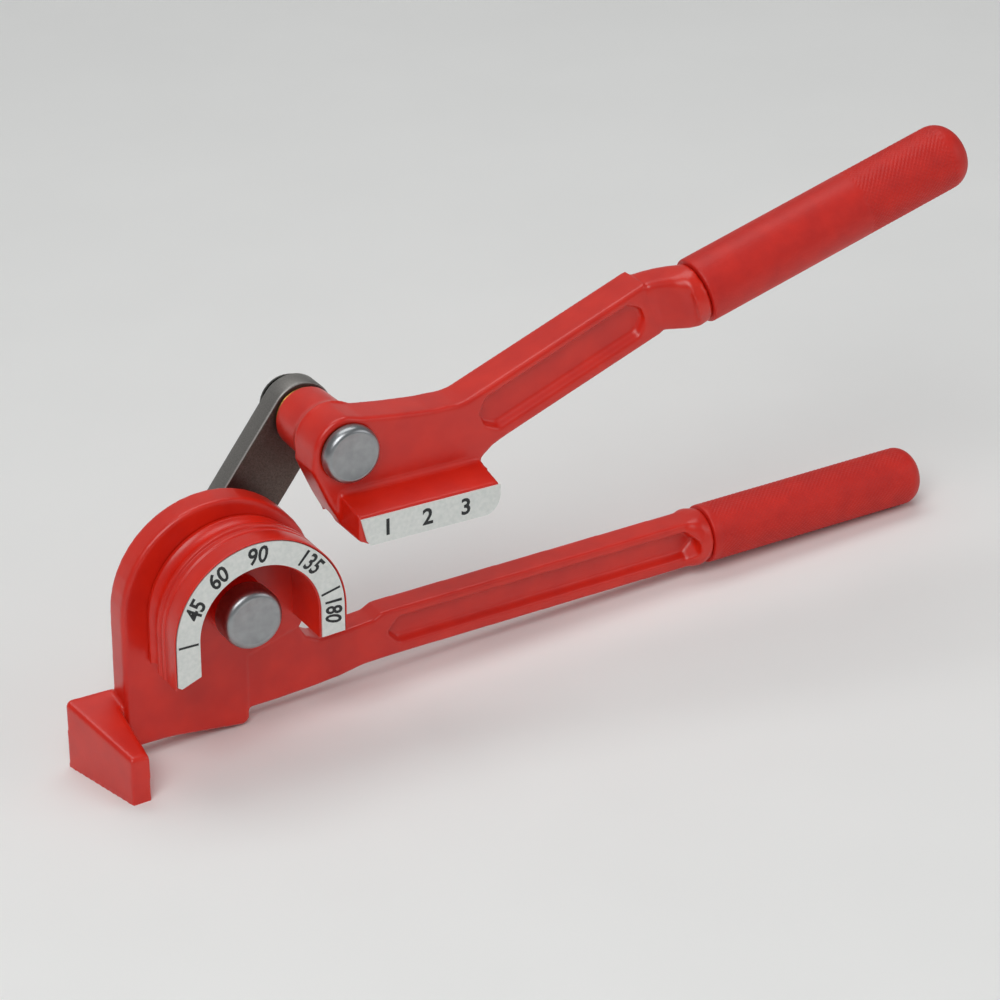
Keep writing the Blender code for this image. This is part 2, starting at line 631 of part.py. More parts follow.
def make_lower_handle():
    left = FLANGE_SHIFT_X - FLANGE_RADIUS
    shift = (FLANGE_SHIFT_X, FLANGE_SHIFT_Z)
    block_outline = arc(FLANGE_RADIUS, NECK_ROOT_ANGLE, HALF_TURN, ARC_STEPS, shift)
    block_outline += [(left, -BLOCK_LEFT_BOTTOM), (left + BLOCK_BOTTOM - BLOCK_LEFT_BOTTOM, -BLOCK_BOTTOM),
                      (-POCKET_RADIUS, -BLOCK_BOTTOM),
                      (BLOCK_TOE_X, -BLOCK_BOTTOM - BLOCK_TOE_DROP),
                      (BLOCK_STEP_X, -BLOCK_BOTTOM - BLOCK_TOE_DROP + BLOCK_TOE_RISE),
                      (BLOCK_STEP_X, -NECK_ROOT_TOP - HUB_RADIUS)]
    handle = prism("lower_handle", block_outline, BLOCK_FRONT, BLOCK_BACK, RED_COAT, CASTING_EDGE)
    arm = prism("arm", neck_outline(), ARM_FRONT, ARM_BACK, RED_COAT, CASTING_EDGE)
    boss = cylinder("boss", BACK_BOSS_RADIUS, BLOCK_BACK - SEAT_GAP, STACK_FRONT, RED_COAT, SIDES_LARGE,
                    edge=CASTING_EDGE)
    stub = tang("stub", grip_start(), ARM_TILT, LOWER_COLLAR_RADIUS, TANG_LENGTH, RED_COAT)
    join(handle, [arm, boss, make_foot(), make_arm_swell(), stub])
    cutters = []
    for side_y, into in ((ARM_FRONT, 1), (ARM_BACK, -1)):
        cutters.append(recess("recess", (0, -ARM_AXIS_DROP), ARM_TILT, ARM_START_X,
                              ARM_END_X - RECESS_MARGIN / 2, ARM_HEIGHT, side_y, into, RED_COAT))
    cutters.append(cylinder("bore", BORE_RADIUS, BLOCK_FRONT - OVERRUN, STACK_FRONT + OVERRUN, RED_COAT,
                            SIDES_PIN))
    head_start = BLOCK_BACK - SCREW_HEAD_HEIGHT - SEAT_GAP
    for angle in SCREW_ANGLES:
        clear = SCREW_RADIUS + RUNNING_GAP
        seat = SCREW_HEAD_RADIUS + RUNNING_GAP
        profile = [(0, BLOCK_FRONT - OVERRUN), (clear, BLOCK_FRONT - OVERRUN), (clear, head_start),
                   (seat, head_start), (seat, BLOCK_BACK + OVERRUN), (0, BLOCK_BACK + OVERRUN)]
        cutters.append(turned("screw_hole", profile, RED_COAT, SIDES_SMALL, fixing_place(angle)))
    for angle in DOWEL_ANGLES:
        cutters.append(cylinder("ream", DOWEL_RADIUS + RUNNING_GAP, BLOCK_FRONT - OVERRUN,
                                BLOCK_FRONT + DOWEL_BITE + SEAT_GAP, RED_COAT, SIDES_SMALL,
                                fixing_place(angle)))
    cut(handle, cutters)
    return handle


def make_grip(name, start, tilt, radius, length, end_round):
    """A moulded grip with a blind bore, over the tang that leaves start."""
    def place(u):
        x, z = along((start[0], start[2]), tilt, u)
        return (x, start[1], z)
    def circle(u, size):
        return section(place(u), tilt, size, size, ROUND_POWER, SIDES_GRIP)
    bore = TANG_RADIUS + SEAT_GAP
    first = GRIP_GAP
    rings = [circle(TANG_LENGTH + TANG_TIP_SPACE, bore), circle(first, bore),
             circle(first, radius - GRIP_LIP), circle(first + GRIP_LIP, radius)]
    for i in range(ROUND_STEPS + 1):
        angle = QUARTER_TURN * i / ROUND_STEPS * ROUND_REACH_SHARE
        rings.append(circle(first + length - end_round + end_round * math.sin(angle),
                            radius - end_round + end_round * math.cos(angle)))
    return object_from(name, skin(rings), RED_GRIP)


# Upper casting, in the tool frame at rest
def head_point(x, z):
    """A point given from the upper pin's axis, as (x, z) in the tool frame."""
    return (UPPER_AXIS.x + x, UPPER_AXIS.z + z)


def upper_arm_point(u, v):
    """Point (x, z) of the upper arm, u along it from its middle and v across."""
    return along(head_point(UPPER_ARM_MID_X, UPPER_ARM_MID_Z), UPPER_ARM_TILT, u, v)


def upper_grip_start():
    x, z = head_point(UPPER_GRIP_START_X, UPPER_GRIP_START_Z)
    return (x, UPPER_GRIP_Y, z)


def head_outline():
    """Outline (x, z) of head and arm: eye, waist, notch, arm and saddle; the shoe covers its foot."""
    half = UPPER_ARM_HEIGHT / 2
    points = [head_point(*p) for p in arc(EYE_RADIUS, QUARTER_TURN, HALF_TURN, ARC_STEPS // 2)]
    points += [head_point(HEAD_WAIST_X, HEAD_WAIST_Z), head_point(HEAD_HEEL_X, HEAD_HEEL_Z),
               head_point(SHOE_LEFT_X + SEAT_GAP, -SHOE_DROP + SHOE_BEVEL_Z + SEAT_GAP),
               head_point(SHOE_RIGHT_X - SHOE_END_ROUND_X, -SHOE_DROP + SHOE_BEVEL_Z)]
    for reach_share, rise_share in NOTCH_SHARES:
        points.append(head_point(NOTCH_X + NOTCH_REACH * reach_share,
                                 -SHOE_DROP + NOTCH_HEIGHT * rise_share))
    points += [upper_arm_point(UPPER_ARM_FOOT_X - UPPER_ARM_MID_X, -half),
               upper_arm_point(UPPER_ARM_LENGTH, -half), upper_arm_point(UPPER_ARM_LENGTH, half),
               upper_arm_point(UPPER_ARM_RISE_X - UPPER_ARM_MID_X, half)]
    for along_share, rise_share in reversed(SADDLE_SHARES):
        points.append(head_point(SADDLE_X * along_share,
                                 SADDLE_HEIGHT + (EYE_RADIUS - SADDLE_HEIGHT) * rise_share))
    return points


def shoe_outline(height, left_slant=0.0):
    """Outline (x, z) of the shoe at one place along Y, up to a height over its underside."""
    points = [head_point(SHOE_LEFT_X, -SHOE_DROP + height),
              head_point(SHOE_LEFT_X + left_slant, -SHOE_DROP + SHOE_BEVEL_Z),
              head_point(SHOE_LEFT_X + SHOE_BEVEL_X, -SHOE_DROP)]
    for i in range(ROUND_STEPS):
        angle = QUARTER_TURN * i / (ROUND_STEPS - 1)
        points.append(head_point(SHOE_RIGHT_X - SHOE_END_ROUND_X * (1 - math.sin(angle)),
                                 -SHOE_DROP + SHOE_END_ROUND_Z * (1 - math.cos(angle))))
    points.append(head_point(SHOE_RIGHT_X, -SHOE_DROP + height))
    return points


def make_upper_handle():
    handle = prism("upper_handle", head_outline(), HEAD_FRONT_Y, HEAD_BACK, RED_COAT, CASTING_EDGE)
    # The shoe reaches forward from the head, and its top falls towards the scale
    rings = [[(x, SHOE_CAST_Y, z) for x, z in shoe_outline(SHOE_LIP_HEIGHT)]]
    for y in (HEAD_FRONT_Y + SHOE_ROOT_Y, HEAD_BACK - SHOE_BACK_SET_IN):
        rings.append([(x, y, z) for x, z in shoe_outline(SHOE_ROOT_HEIGHT)])
    shoe = object_from("shoe", skin(rings), RED_COAT, smooth=False)
    boss_profile = [(0, HEAD_BACK - CASTING_EDGE), (BOSS_RADIUS + BOSS_FLARE, HEAD_BACK - CASTING_EDGE),
                    (BOSS_RADIUS, STACK_FRONT - CASTING_EDGE), (BOSS_RADIUS - CASTING_EDGE, STACK_FRONT),
                    (0, STACK_FRONT)]
    boss = turned("boss", boss_profile, RED_COAT, SIDES_PIN, UPPER_AXIS)
    crank = make_crank()
    stub = tang("stub", upper_grip_start(), UPPER_GRIP_TILT, UPPER_COLLAR_RADIUS, TANG_LENGTH, RED_COAT)
    join(handle, [shoe, boss, crank, stub])
    cutters = []
    recess_start = UPPER_RECESS_X - UPPER_ARM_MID_X
    for side_y, into in ((HEAD_FRONT_Y, 1), (HEAD_BACK, -1)):
        cutters.append(recess("recess", head_point(UPPER_ARM_MID_X, UPPER_ARM_MID_Z), UPPER_ARM_TILT,
                              recess_start, UPPER_ARM_LENGTH - RECESS_MARGIN, UPPER_ARM_HEIGHT,
                              side_y, into, RED_COAT))
    cutters.append(cylinder("bore", BORE_RADIUS, HEAD_FRONT_Y - OVERRUN, STACK_FRONT + OVERRUN, RED_COAT,
                            SIDES_PIN, UPPER_AXIS))
    # Groove under the shoe for the top of the tube
    tube_z = UPPER_AXIS.z - LINK_SPACING + GROOVE_FLOOR_RADIUS + TUBE_RADIUS
    start = (UPPER_AXIS.x + SHOE_LEFT_X - OVERRUN, GROOVE_Y, tube_z)
    end = (UPPER_AXIS.x + NOTCH_X + NOTCH_REACH + OVERRUN, GROOVE_Y, tube_z)
    rings = [section(place, 0, TUBE_RADIUS, TUBE_RADIUS, ROUND_POWER, SIDES_PIN) for place in (start, end)]
    cutters.append(object_from("groove", skin(rings), RED_COAT))
    cut(handle, cutters)
    return handle


def swell(name, start, goal, tilts, half_height, half_depth, end_radius):
    """Leads from inside an arm's end to a round collar: a rounded box that turns into a circle."""
    rings = []
    for i in range(ROUND_STEPS + 1):
        t = i / ROUND_STEPS
        ease = t * t * (EASE_A - EASE_B * t)
        level = t + (ease - t) * EASE_SHARE_Z
        centre = Vector((start.x + (goal.x - start.x) * t, start.y + (goal.y - start.y) * ease,
                         start.z + (goal.z - start.z) * level))
        tilt = tilts[0] + (tilts[1] - tilts[0]) * ease
        high = half_height + (end_radius - half_height) * ease
        deep = half_depth + (end_radius - half_depth) * ease
        power = CRANK_SQUARE + (ROUND_POWER - CRANK_SQUARE) * ease * t
        rings.append(section(centre, tilt, high, deep, power, SIDES_GRIP))
    return object_from(name, skin(rings, flat=False), RED_COAT)


def make_crank():
    """The part that leads from the upper arm's end forward to its grip's axis."""
    end = upper_arm_point(UPPER_ARM_LENGTH - RECESS_MARGIN / 2, 0)
    start = Vector((end[0], UPPER_ARM_MID_Y, end[1]))
    back_off = Vector((-math.cos(UPPER_GRIP_TILT), 0, -math.sin(UPPER_GRIP_TILT))) * GRIP_COLLAR_LENGTH / 2
    return swell("crank", start, Vector(upper_grip_start()) + back_off, (UPPER_ARM_TILT, UPPER_GRIP_TILT),
                 (UPPER_ARM_HEIGHT - CASTING_EDGE) / 2, (HEAD_BACK - HEAD_FRONT_Y - CASTING_EDGE) / 2,
                 UPPER_COLLAR_RADIUS + SWELL_SET_IN)


def make_arm_swell():
    """The lower arm's end, which swells to meet its grip."""
    one = arm_point(ARM_END_X - ARM_SWELL_LENGTH, 0)
    two = arm_point(ARM_END_X + GRIP_COLLAR_LENGTH / 2, 0)
    return swell("swell", Vector((one[0], ARM_MID, one[1])), Vector((two[0], ARM_MID, two[1])),
                 (ARM_TILT, ARM_TILT), (ARM_HEIGHT - CASTING_EDGE) / 2, (ARM_THICKNESS - CASTING_EDGE) / 2,
                 LOWER_COLLAR_RADIUS + SWELL_SET_IN)


def make_shoe_scale():
    """The white plate that covers the shoe's front face."""
    outline = inset(anticlockwise(shoe_outline(SHOE_LIP_HEIGHT, SHOE_SCALE_SLANT)), RUNNING_GAP)
    return prism("shoe_scale", outline, SHOE_FACE_Y, SHOE_FACE_Y + SHOE_SCALE_THICKNESS, WHITE_PLATE)


# Steel and bronze work
def make_pin(name, head_radius, head_front, head_length, centre):
    """A headed pin whose tail has a groove for its retaining ring."""
    shank_front = head_front + head_length
    groove = PIN_RADIUS - RING_GROOVE_DEPTH
    profile = [(0, head_front), (HEAD_FACE_RADIUS, head_front),
               *[(HEAD_FACE_RADIUS + (head_radius - HEAD_FACE_RADIUS) * share, head_front + depth)
                 for depth, share in zip(HEAD_EDGE_DEPTHS, HEAD_EDGE_SHARES)],
               (head_radius, shank_front), (PIN_RADIUS, shank_front), (PIN_RADIUS, RING_FRONT - SEAT_GAP),
               (groove, RING_FRONT - SEAT_GAP), (groove, RING_FRONT + RING_THICKNESS + SEAT_GAP),
               (PIN_RADIUS, RING_FRONT + RING_THICKNESS + SEAT_GAP),
               (PIN_RADIUS, PIN_BACK - PIN_END_CHAMFER),
               (PIN_RADIUS - PIN_END_CHAMFER, PIN_BACK), (0, PIN_BACK)]
    return turned(name, profile, STEEL, SIDES_PIN, centre)


def make_retaining_ring(name, centre, tilt):
    """A sprung C ring that snaps into the pin's groove."""
    inner = PIN_RADIUS - RING_GROOVE_DEPTH + RUNNING_GAP
    start = tilt + RING_OPENING / 2
    end = tilt + FULL_TURN - RING_OPENING / 2
    middle = (centre.x, centre.z)
    outline = arc(RING_RADIUS, start, end, ARC_STEPS, middle)
    outline += arc(inner, end, start, ARC_STEPS, middle)
    return prism(name, outline, RING_FRONT, RING_FRONT + RING_THICKNESS, DARK_STEEL)


def make_wave_washer(name, centre):
    """A spring washer that waves three times round, and drags on the link."""
    inner = BACK_WASHER_RADIUS * WAVE_INNER_SHARE
    rings = []
    for i in range(SIDES_LARGE):
        angle = FULL_TURN * i / SIDES_LARGE
        lift = WAVE_HEIGHT * (1 + math.cos(WAVES * angle)) / 2
        ring_points = []
        for radius, y in ((inner, 0), (BACK_WASHER_RADIUS, 0), (BACK_WASHER_RADIUS, WAVE_WIRE),
                          (inner, WAVE_WIRE)):
            ring_points.append((centre.x + radius * math.cos(angle), WAVE_FRONT + y + lift,
                                centre.z + radius * math.sin(angle)))
        rings.append(ring_points)
    return object_from(name, skin(rings, close_loop=True), DARK_STEEL)


def make_link():
    """The strap: two round ends on the two axes, with straight sides."""
    outline = arc(LINK_HALF_WIDTH, LINK_ANGLE - QUARTER_TURN, LINK_ANGLE + QUARTER_TURN, ARC_STEPS // 2,
                  (UPPER_AXIS.x, UPPER_AXIS.z))
    outline += arc(LINK_HALF_WIDTH, LINK_ANGLE + QUARTER_TURN, LINK_ANGLE + HALF_TURN + QUARTER_TURN,
                   ARC_STEPS // 2)
    link = prism("link_plate", outline, LINK_FRONT, LINK_BACK, DARK_STEEL, CASTING_EDGE)
    cut(link, [cylinder("eye", BORE_RADIUS, LINK_FRONT - OVERRUN, LINK_BACK + OVERRUN, DARK_STEEL, SIDES_PIN,
                        at) for at in (MAIN_AXIS, UPPER_AXIS)])
    return link


def make_bush(name, front, back, centre):
    return ring(name, BUSH_INNER, BUSH_OUTER, front, back, BRONZE, SIDES_PIN, centre)


def make_washer(name, radius, front, thickness, centre, mat):
    return ring(name, BUSH_INNER, radius, front, front + thickness, mat, SIDES_PIN, centre, RUNNING_GAP)


def make_screw(name, angle):
    """A slotted cheese-head screw, driven from the back of the block."""
    head_start = BLOCK_BACK - SCREW_HEAD_HEIGHT
    tip = DIE_DEPTH - SCREW_GRIP
    profile = [(0, tip), (SCREW_RADIUS, tip), (SCREW_RADIUS, head_start), (SCREW_HEAD_RADIUS, head_start),
               (SCREW_HEAD_RADIUS, BLOCK_BACK), (0, BLOCK_BACK)]
    place = fixing_place(angle)
    screw = turned(name, profile, STEEL, SIDES_SMALL, place)
    long_side = SCREW_HEAD_RADIUS + OVERRUN
    half = SCREW_SLOT_WIDTH / 2
    slot = [(place.x - long_side, place.z - half), (place.x + long_side, place.z - half),
            (place.x + long_side, place.z + half), (place.x - long_side, place.z + half)]
    cut(screw, [prism("slot", slot, BLOCK_BACK - SCREW_SLOT_DEPTH, BLOCK_BACK + OVERRUN, STEEL)])
    return screw


def make_dowel(name, angle):
    return cylinder(name, DOWEL_RADIUS, DIE_DEPTH - DOWEL_BITE, BLOCK_FRONT + DOWEL_BITE, STEEL, SIDES_SMALL,
                    fixing_place(angle), RUNNING_GAP)


# The three bodies
main_head_front = HUB_FRONT_Y - SEAT_GAP - MAIN_HEAD_LENGTH
upper_head_front = HEAD_FRONT_Y - SEAT_GAP - UPPER_HEAD_LENGTH
bush_front_end = HEAD_FRONT_Y + (STACK_FRONT - HEAD_FRONT_Y) / 2 - SEAT_GAP / 2

base_pieces = [
    make_lower_handle(),
    make_die(),
    prism("degree_scale", scale_outline(), 0, SCALE_THICKNESS, WHITE_PLATE),
    make_pin("main_pin", MAIN_HEAD_RADIUS, main_head_front, MAIN_HEAD_LENGTH, MAIN_AXIS),
    make_bush("main_bush", BLOCK_FRONT, STACK_FRONT, MAIN_AXIS),
    make_screw("die_screw_right", SCREW_ANGLES[0]),
    make_screw("die_screw_left", SCREW_ANGLES[1]),
    make_dowel("die_dowel_top", DOWEL_ANGLES[0]),
    make_dowel("die_dowel_left", DOWEL_ANGLES[1]),
    make_grip("lower_grip", grip_start(), ARM_TILT, LOWER_GRIP_RADIUS, LOWER_GRIP_LENGTH, LOWER_GRIP_ROUND),
    make_washer("main_thrust_washer", MAIN_WASHER_RADIUS, THRUST_FRONT, THRUST_THICKNESS, MAIN_AXIS, BRONZE),
    make_washer("main_back_washer", BACK_WASHER_RADIUS, BACK_WASHER_FRONT, BACK_WASHER_THICKNESS, MAIN_AXIS,
                STEEL),
    make_wave_washer("main_wave_washer", MAIN_AXIS),
    make_retaining_ring("main_retaining_ring", MAIN_AXIS, -QUARTER_TURN),
]
link_pieces = [
    make_link(),
    make_bush("link_lower_bush", LINK_FRONT, LINK_BACK, MAIN_AXIS),
    make_bush("link_upper_bush", LINK_FRONT, LINK_BACK, UPPER_AXIS),
    make_pin("upper_pin", UPPER_HEAD_RADIUS, upper_head_front, UPPER_HEAD_LENGTH, UPPER_AXIS),
    make_washer("upper_back_washer", BACK_WASHER_RADIUS, BACK_WASHER_FRONT, BACK_WASHER_THICKNESS,
                UPPER_AXIS, STEEL),
    make_wave_washer("upper_wave_washer", UPPER_AXIS),
    make_retaining_ring("upper_retaining_ring", UPPER_AXIS, LINK_ANGLE),
]
handle_pieces = [
    make_upper_handle(),
    make_shoe_scale(),
    make_bush("handle_front_bush", HEAD_FRONT_Y, bush_front_end, UPPER_AXIS),
    make_bush("handle_back_bush", bush_front_end + SEAT_GAP, STACK_FRONT, UPPER_AXIS),
    make_washer("upper_thrust_washer", UPPER_WASHER_RADIUS, THRUST_FRONT, THRUST_THICKNESS, UPPER_AXIS,
                BRONZE),
    make_grip("upper_grip", upper_grip_start(), UPPER_GRIP_TILT, UPPER_GRIP_RADIUS, UPPER_GRIP_LENGTH,
              UPPER_GRIP_ROUND),
]


# Stand the tool on the bench and hang the moving bodies on their axes
def empty(name, place, parent):
    made = bpy.data.objects.new(name, None)
    bpy.context.scene.collection.objects.link(made)
    made.parent = parent
    made.location = place
    return made


def hang(pieces, parent, axis):
    """Give the pieces their origin on the axis that they turn about."""
    for piece in pieces:
        piece.data.transform(Matrix.Translation(-axis))
        piece.parent = parent


stand = empty("stand", (0, 0, 0), None)
stand.rotation_euler = (0, floor_line(), 0)
link_pivot = empty("link_pivot", MAIN_AXIS, stand)
handle_pivot = empty("handle_pivot", UPPER_AXIS - MAIN_AXIS, link_pivot)
hang(base_pieces, stand, MAIN_AXIS)
hang(link_pieces, link_pivot, MAIN_AXIS)
hang(handle_pieces, handle_pivot, UPPER_AXIS)

bpy.context.view_layer.update()
corners = [piece.matrix_world @ vertex.co
           for piece in base_pieces + link_pieces + handle_pieces for vertex in piece.data.vertices]
low = Vector([min(corner[i] for corner in corners) for i in range(3)])
high = Vector([max(corner[i] for corner in corners) for i in range(3)])
stand.location = (-(low.x + high.x) / 2, -(low.y + high.y) / 2, -low.z)
bpy.context.view_layer.update()

print("size", [round(value, 5) for value in high - low])
print("main axis", [round(value, 6) for value in link_pivot.matrix_world.translation])
print("upper axis", [round(value, 6) for value in handle_pivot.matrix_world.translation])
print("lean in degrees", round(math.degrees(floor_line()), 4))
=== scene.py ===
# %% [markdown]
# # A lever bender for small tube, finished for the camera
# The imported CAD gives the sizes, the joints and the inner steel work. This script adds what
# the eye sees: cast and coated handles, moulded grips, turned pins and printed scales.
# Every piece is made in the tool frame, in millimetres: X runs along the lower handle, Y goes
# from the front to the back, Z is up, and the origin is the main pin's axis at the die's front.

import json
import math

import bmesh
import bpy
from mathutils import Matrix, Vector

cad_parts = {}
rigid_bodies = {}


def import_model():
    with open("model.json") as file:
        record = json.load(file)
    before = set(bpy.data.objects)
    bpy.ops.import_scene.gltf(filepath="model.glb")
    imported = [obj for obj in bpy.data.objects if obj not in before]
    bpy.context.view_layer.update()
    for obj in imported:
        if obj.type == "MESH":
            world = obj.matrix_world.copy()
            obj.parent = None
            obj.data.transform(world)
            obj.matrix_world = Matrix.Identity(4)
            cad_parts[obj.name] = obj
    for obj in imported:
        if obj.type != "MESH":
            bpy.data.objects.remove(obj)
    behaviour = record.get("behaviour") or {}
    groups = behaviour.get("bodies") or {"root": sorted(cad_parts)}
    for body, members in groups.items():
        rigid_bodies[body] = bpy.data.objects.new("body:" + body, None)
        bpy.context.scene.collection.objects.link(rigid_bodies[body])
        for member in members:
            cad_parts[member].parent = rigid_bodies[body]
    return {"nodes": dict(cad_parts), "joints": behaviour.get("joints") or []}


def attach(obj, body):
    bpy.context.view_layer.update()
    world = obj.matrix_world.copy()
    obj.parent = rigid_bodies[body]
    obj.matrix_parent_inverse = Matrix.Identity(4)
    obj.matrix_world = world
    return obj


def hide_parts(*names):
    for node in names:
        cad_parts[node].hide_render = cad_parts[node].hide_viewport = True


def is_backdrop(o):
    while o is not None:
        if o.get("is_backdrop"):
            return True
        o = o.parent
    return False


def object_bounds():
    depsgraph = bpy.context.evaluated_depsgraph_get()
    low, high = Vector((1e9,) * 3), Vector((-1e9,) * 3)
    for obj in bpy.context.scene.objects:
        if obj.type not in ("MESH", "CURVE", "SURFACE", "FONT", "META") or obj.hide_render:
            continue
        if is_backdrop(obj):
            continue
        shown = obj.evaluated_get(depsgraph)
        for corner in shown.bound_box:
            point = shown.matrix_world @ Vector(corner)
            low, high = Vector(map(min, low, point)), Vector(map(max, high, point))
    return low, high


for start_object in list(bpy.data.objects):
    bpy.data.objects.remove(start_object, do_unlink=True)
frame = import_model()
size_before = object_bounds()
MM = 0.001
LINK_ANGLE = math.radians(53.4)
LINK_SPACING = 50.4
joints = {joint["name"]: Vector(joint["pos_m"]) for joint in frame["joints"]}
MAIN_ROW, UPPER_ROW = joints["link_swing"], joints["handle_swing"]
rise = UPPER_ROW - MAIN_ROW
LEAN = LINK_ANGLE - math.atan2(rise.z, rise.x)
TOOL = Matrix.Translation(MAIN_ROW) @ Matrix.Rotation(LEAN, 4, "Y") @ Matrix.Scale(MM, 4)
MAIN = Vector((0, 0, 0))
UPPER = Vector((LINK_SPACING * math.cos(LINK_ANGLE), 0, LINK_SPACING * math.sin(LINK_ANGLE)))
print("the tool leans", round(math.degrees(LEAN), 2), "degrees on its foot")

# %% [markdown]
# ## Small helpers
# Meshes are built in millimetres in the tool frame and moved into the row frame once, so every
# object stays at the origin, unscaled. The node helper adds one shader node and links its
# inputs in one line. Texture sizes are real: a feature of 0.5 mm has a scale of 1 / 0.0005.

# %% Helpers for meshes and shader nodes
FULL = math.tau
ROUND_SIDES = 96
LOW_STOP, HIGH_STOP = 0.3, 0.7
CORNER_SHARE, CORNER_LEAST = 0.45, 0.12
TINY = 1e-4


def linear(code):
    """A hex sRGB colour as linear RGBA."""
    values = [int(code[i:i + 2], 16) / 255 for i in (0, 2, 4)]
    return (*[v / 12.92 if v <= 0.04045 else ((v + 0.055) / 1.055) ** 2.4 for v in values], 1)


def node(tree, kind, inputs=None, **settings):
    """Add a node, set its properties, and fill or link its inputs by name or index."""
    made = tree.nodes.new(kind)
    for key, value in settings.items():
        setattr(made, key, value)
    for key, value in (inputs or {}).items():
        if isinstance(value, bpy.types.NodeSocket):
            tree.links.new(value, made.inputs[key])
        else:
            made.inputs[key].default_value = value
    return made


def math_node(tree, operation, a, b=0.0, c=0.0):
    return node(tree, "ShaderNodeMath", {0: a, 1: b, 2: c}, operation=operation).outputs[0]


def ramp(tree, fac, stops):
    """A colour ramp from (position, hex) stops."""
    made = node(tree, "ShaderNodeValToRGB", {"Fac": fac})
    elements = made.color_ramp.elements
    while len(elements) < len(stops):
        elements.new(0.5)
    for element, (place, code) in zip(elements, stops):
        element.position = place
        element.color = linear(code)
    return made.outputs["Color"]


def grain(tree, feature_mm, detail=3.0, vector=None, rough=0.5):
    """Noise with features of a real size in object space."""
    if vector is None:
        vector = node(tree, "ShaderNodeTexCoord").outputs["Object"]
    return node(tree, "ShaderNodeTexNoise",
                {"Vector": vector, "Scale": 1 / (feature_mm * MM), "Detail": detail, "Roughness": rough}
                ).outputs["Fac"]


def bump(tree, height, depth_mm):
    """A normal from a height pattern, with the real depth of the pattern."""
    return node(tree, "ShaderNodeBump", {"Height": height, "Distance": depth_mm * MM, "Strength": 1.0}
                ).outputs["Normal"]


def tint(tree, shader, fac, low, high):
    """Colour that goes from low to high over the middle of a pattern."""
    tree.links.new(ramp(tree, fac, [(LOW_STOP, low), (HIGH_STOP, high)]), shader.inputs["Base Color"])


def new_material(name, slot_colour, roughness, metallic):
    """A Principled material with its plain values; returns it, its tree and its shader."""
    mat = bpy.data.materials.new(name)
    mat.use_nodes = True
    shader = mat.node_tree.nodes["Principled BSDF"]
    shader.inputs["Base Color"].default_value = linear(slot_colour)
    shader.inputs["Roughness"].default_value = roughness
    shader.inputs["Metallic"].default_value = metallic
    return mat, mat.node_tree, shader


def finish_mesh(name, mesh, mat, body, nodes=(), angle=35):
    """Put a mesh that is already in the row frame on a CAD body."""
    mesh.materials.clear()
    mesh.materials.append(mat)
    for face in mesh.polygons:
        face.material_index = 0
    mesh.shade_smooth()
    mesh.set_sharp_from_angle(angle=math.radians(angle))
    made = bpy.data.objects.new(name, mesh)
    bpy.context.scene.collection.objects.link(made)
    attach(made, body)
    if nodes:
        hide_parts(*nodes)
    print(name, len(mesh.polygons), "faces")
    return made


def mesh_from(name, tool, matrix=TOOL):
    """Turn a bmesh in tool millimetres into a mesh in the row frame, faces outward."""
    bmesh.ops.recalc_face_normals(tool, faces=tool.faces)
    tool.transform(matrix)
    mesh = bpy.data.meshes.new(name)
    tool.to_mesh(mesh)
    tool.free()
    return mesh


def skin(rings, loop=False):
    """A bmesh over equal rings of points, closed at both ends or into a loop."""
    tool = bmesh.new()
    loops = [[tool.verts.new(point) for point in ring] for ring in rings]
    for one, two in zip(loops, loops[1:] + (loops[:1] if loop else [])):
        for i in range(len(one)):
            k = (i + 1) % len(one)
            tool.faces.new((one[i], one[k], two[k], two[i]))
    if not loop:
        tool.faces.new(loops[0])
        tool.faces.new(loops[-1])
    return tool


def turned(profile, centre=MAIN, sides=ROUND_SIDES):
    """A bmesh turned about an axis along Y from (radius, y) points; radius 0 is a solid end."""
    rings = [[(centre.x + r * math.cos(FULL * i / sides), y, centre.z + r * math.sin(FULL * i / sides))
              for i in range(sides)] for r, y in profile if r]
    return skin(rings, loop=profile[0][0] != 0)


def arc(radius, start, end, steps, centre=(0, 0)):
    return [(centre[0] + radius * math.cos(start + (end - start) * i / steps),
             centre[1] + radius * math.sin(start + (end - start) * i / steps)) for i in range(steps + 1)]


def rounded(profile, radius, steps):
    """Round the corners of a closed 2-D outline by a small radius."""
    out = []
    count = len(profile)
    for i, here in enumerate(profile):
        p, a, b = Vector(here), Vector(profile[i - 1]), Vector(profile[(i + 1) % count])
        u, v = a - p, b - p
        reach = min(radius, u.length * CORNER_SHARE, v.length * CORNER_SHARE)
        if reach < TINY or abs(u.normalized().cross(v.normalized())) < CORNER_LEAST:
            out.append(tuple(p))
            continue
        one, two = p + u.normalized() * reach, p + v.normalized() * reach
        for k in range(steps + 1):
            t = k / steps
            out.append(tuple(one * (1 - t) ** 2 + p * 2 * t * (1 - t) + two * t * t))
    return out


def plate(outline, front, back):
    """A bmesh plate from an (x, z) outline between two places along Y."""
    return skin([[(x, y, z) for x, z in outline] for y in (front, back)])


def bevelled(tool, width, segments, angle):
    """Round the edges of a bmesh that are sharper than an angle in degrees."""
    bmesh.ops.recalc_face_normals(tool, faces=tool.faces)
    edges = [e for e in tool.edges if len(e.link_faces) == 2 and e.calc_face_angle() > math.radians(angle)]
    bmesh.ops.bevel(tool, geom=edges, offset=width, segments=segments, profile=0.5, affect="EDGES",
                    clamp_overlap=True)
    return tool


def shown_mesh(work):
    """The mesh of a work object with its modifiers applied."""
    bpy.context.view_layer.update()
    return bpy.data.meshes.new_from_object(work.evaluated_get(bpy.context.evaluated_depsgraph_get()))


def work_object(name, mesh):
    made = bpy.data.objects.new(name, mesh)
    bpy.context.scene.collection.objects.link(made)
    return made


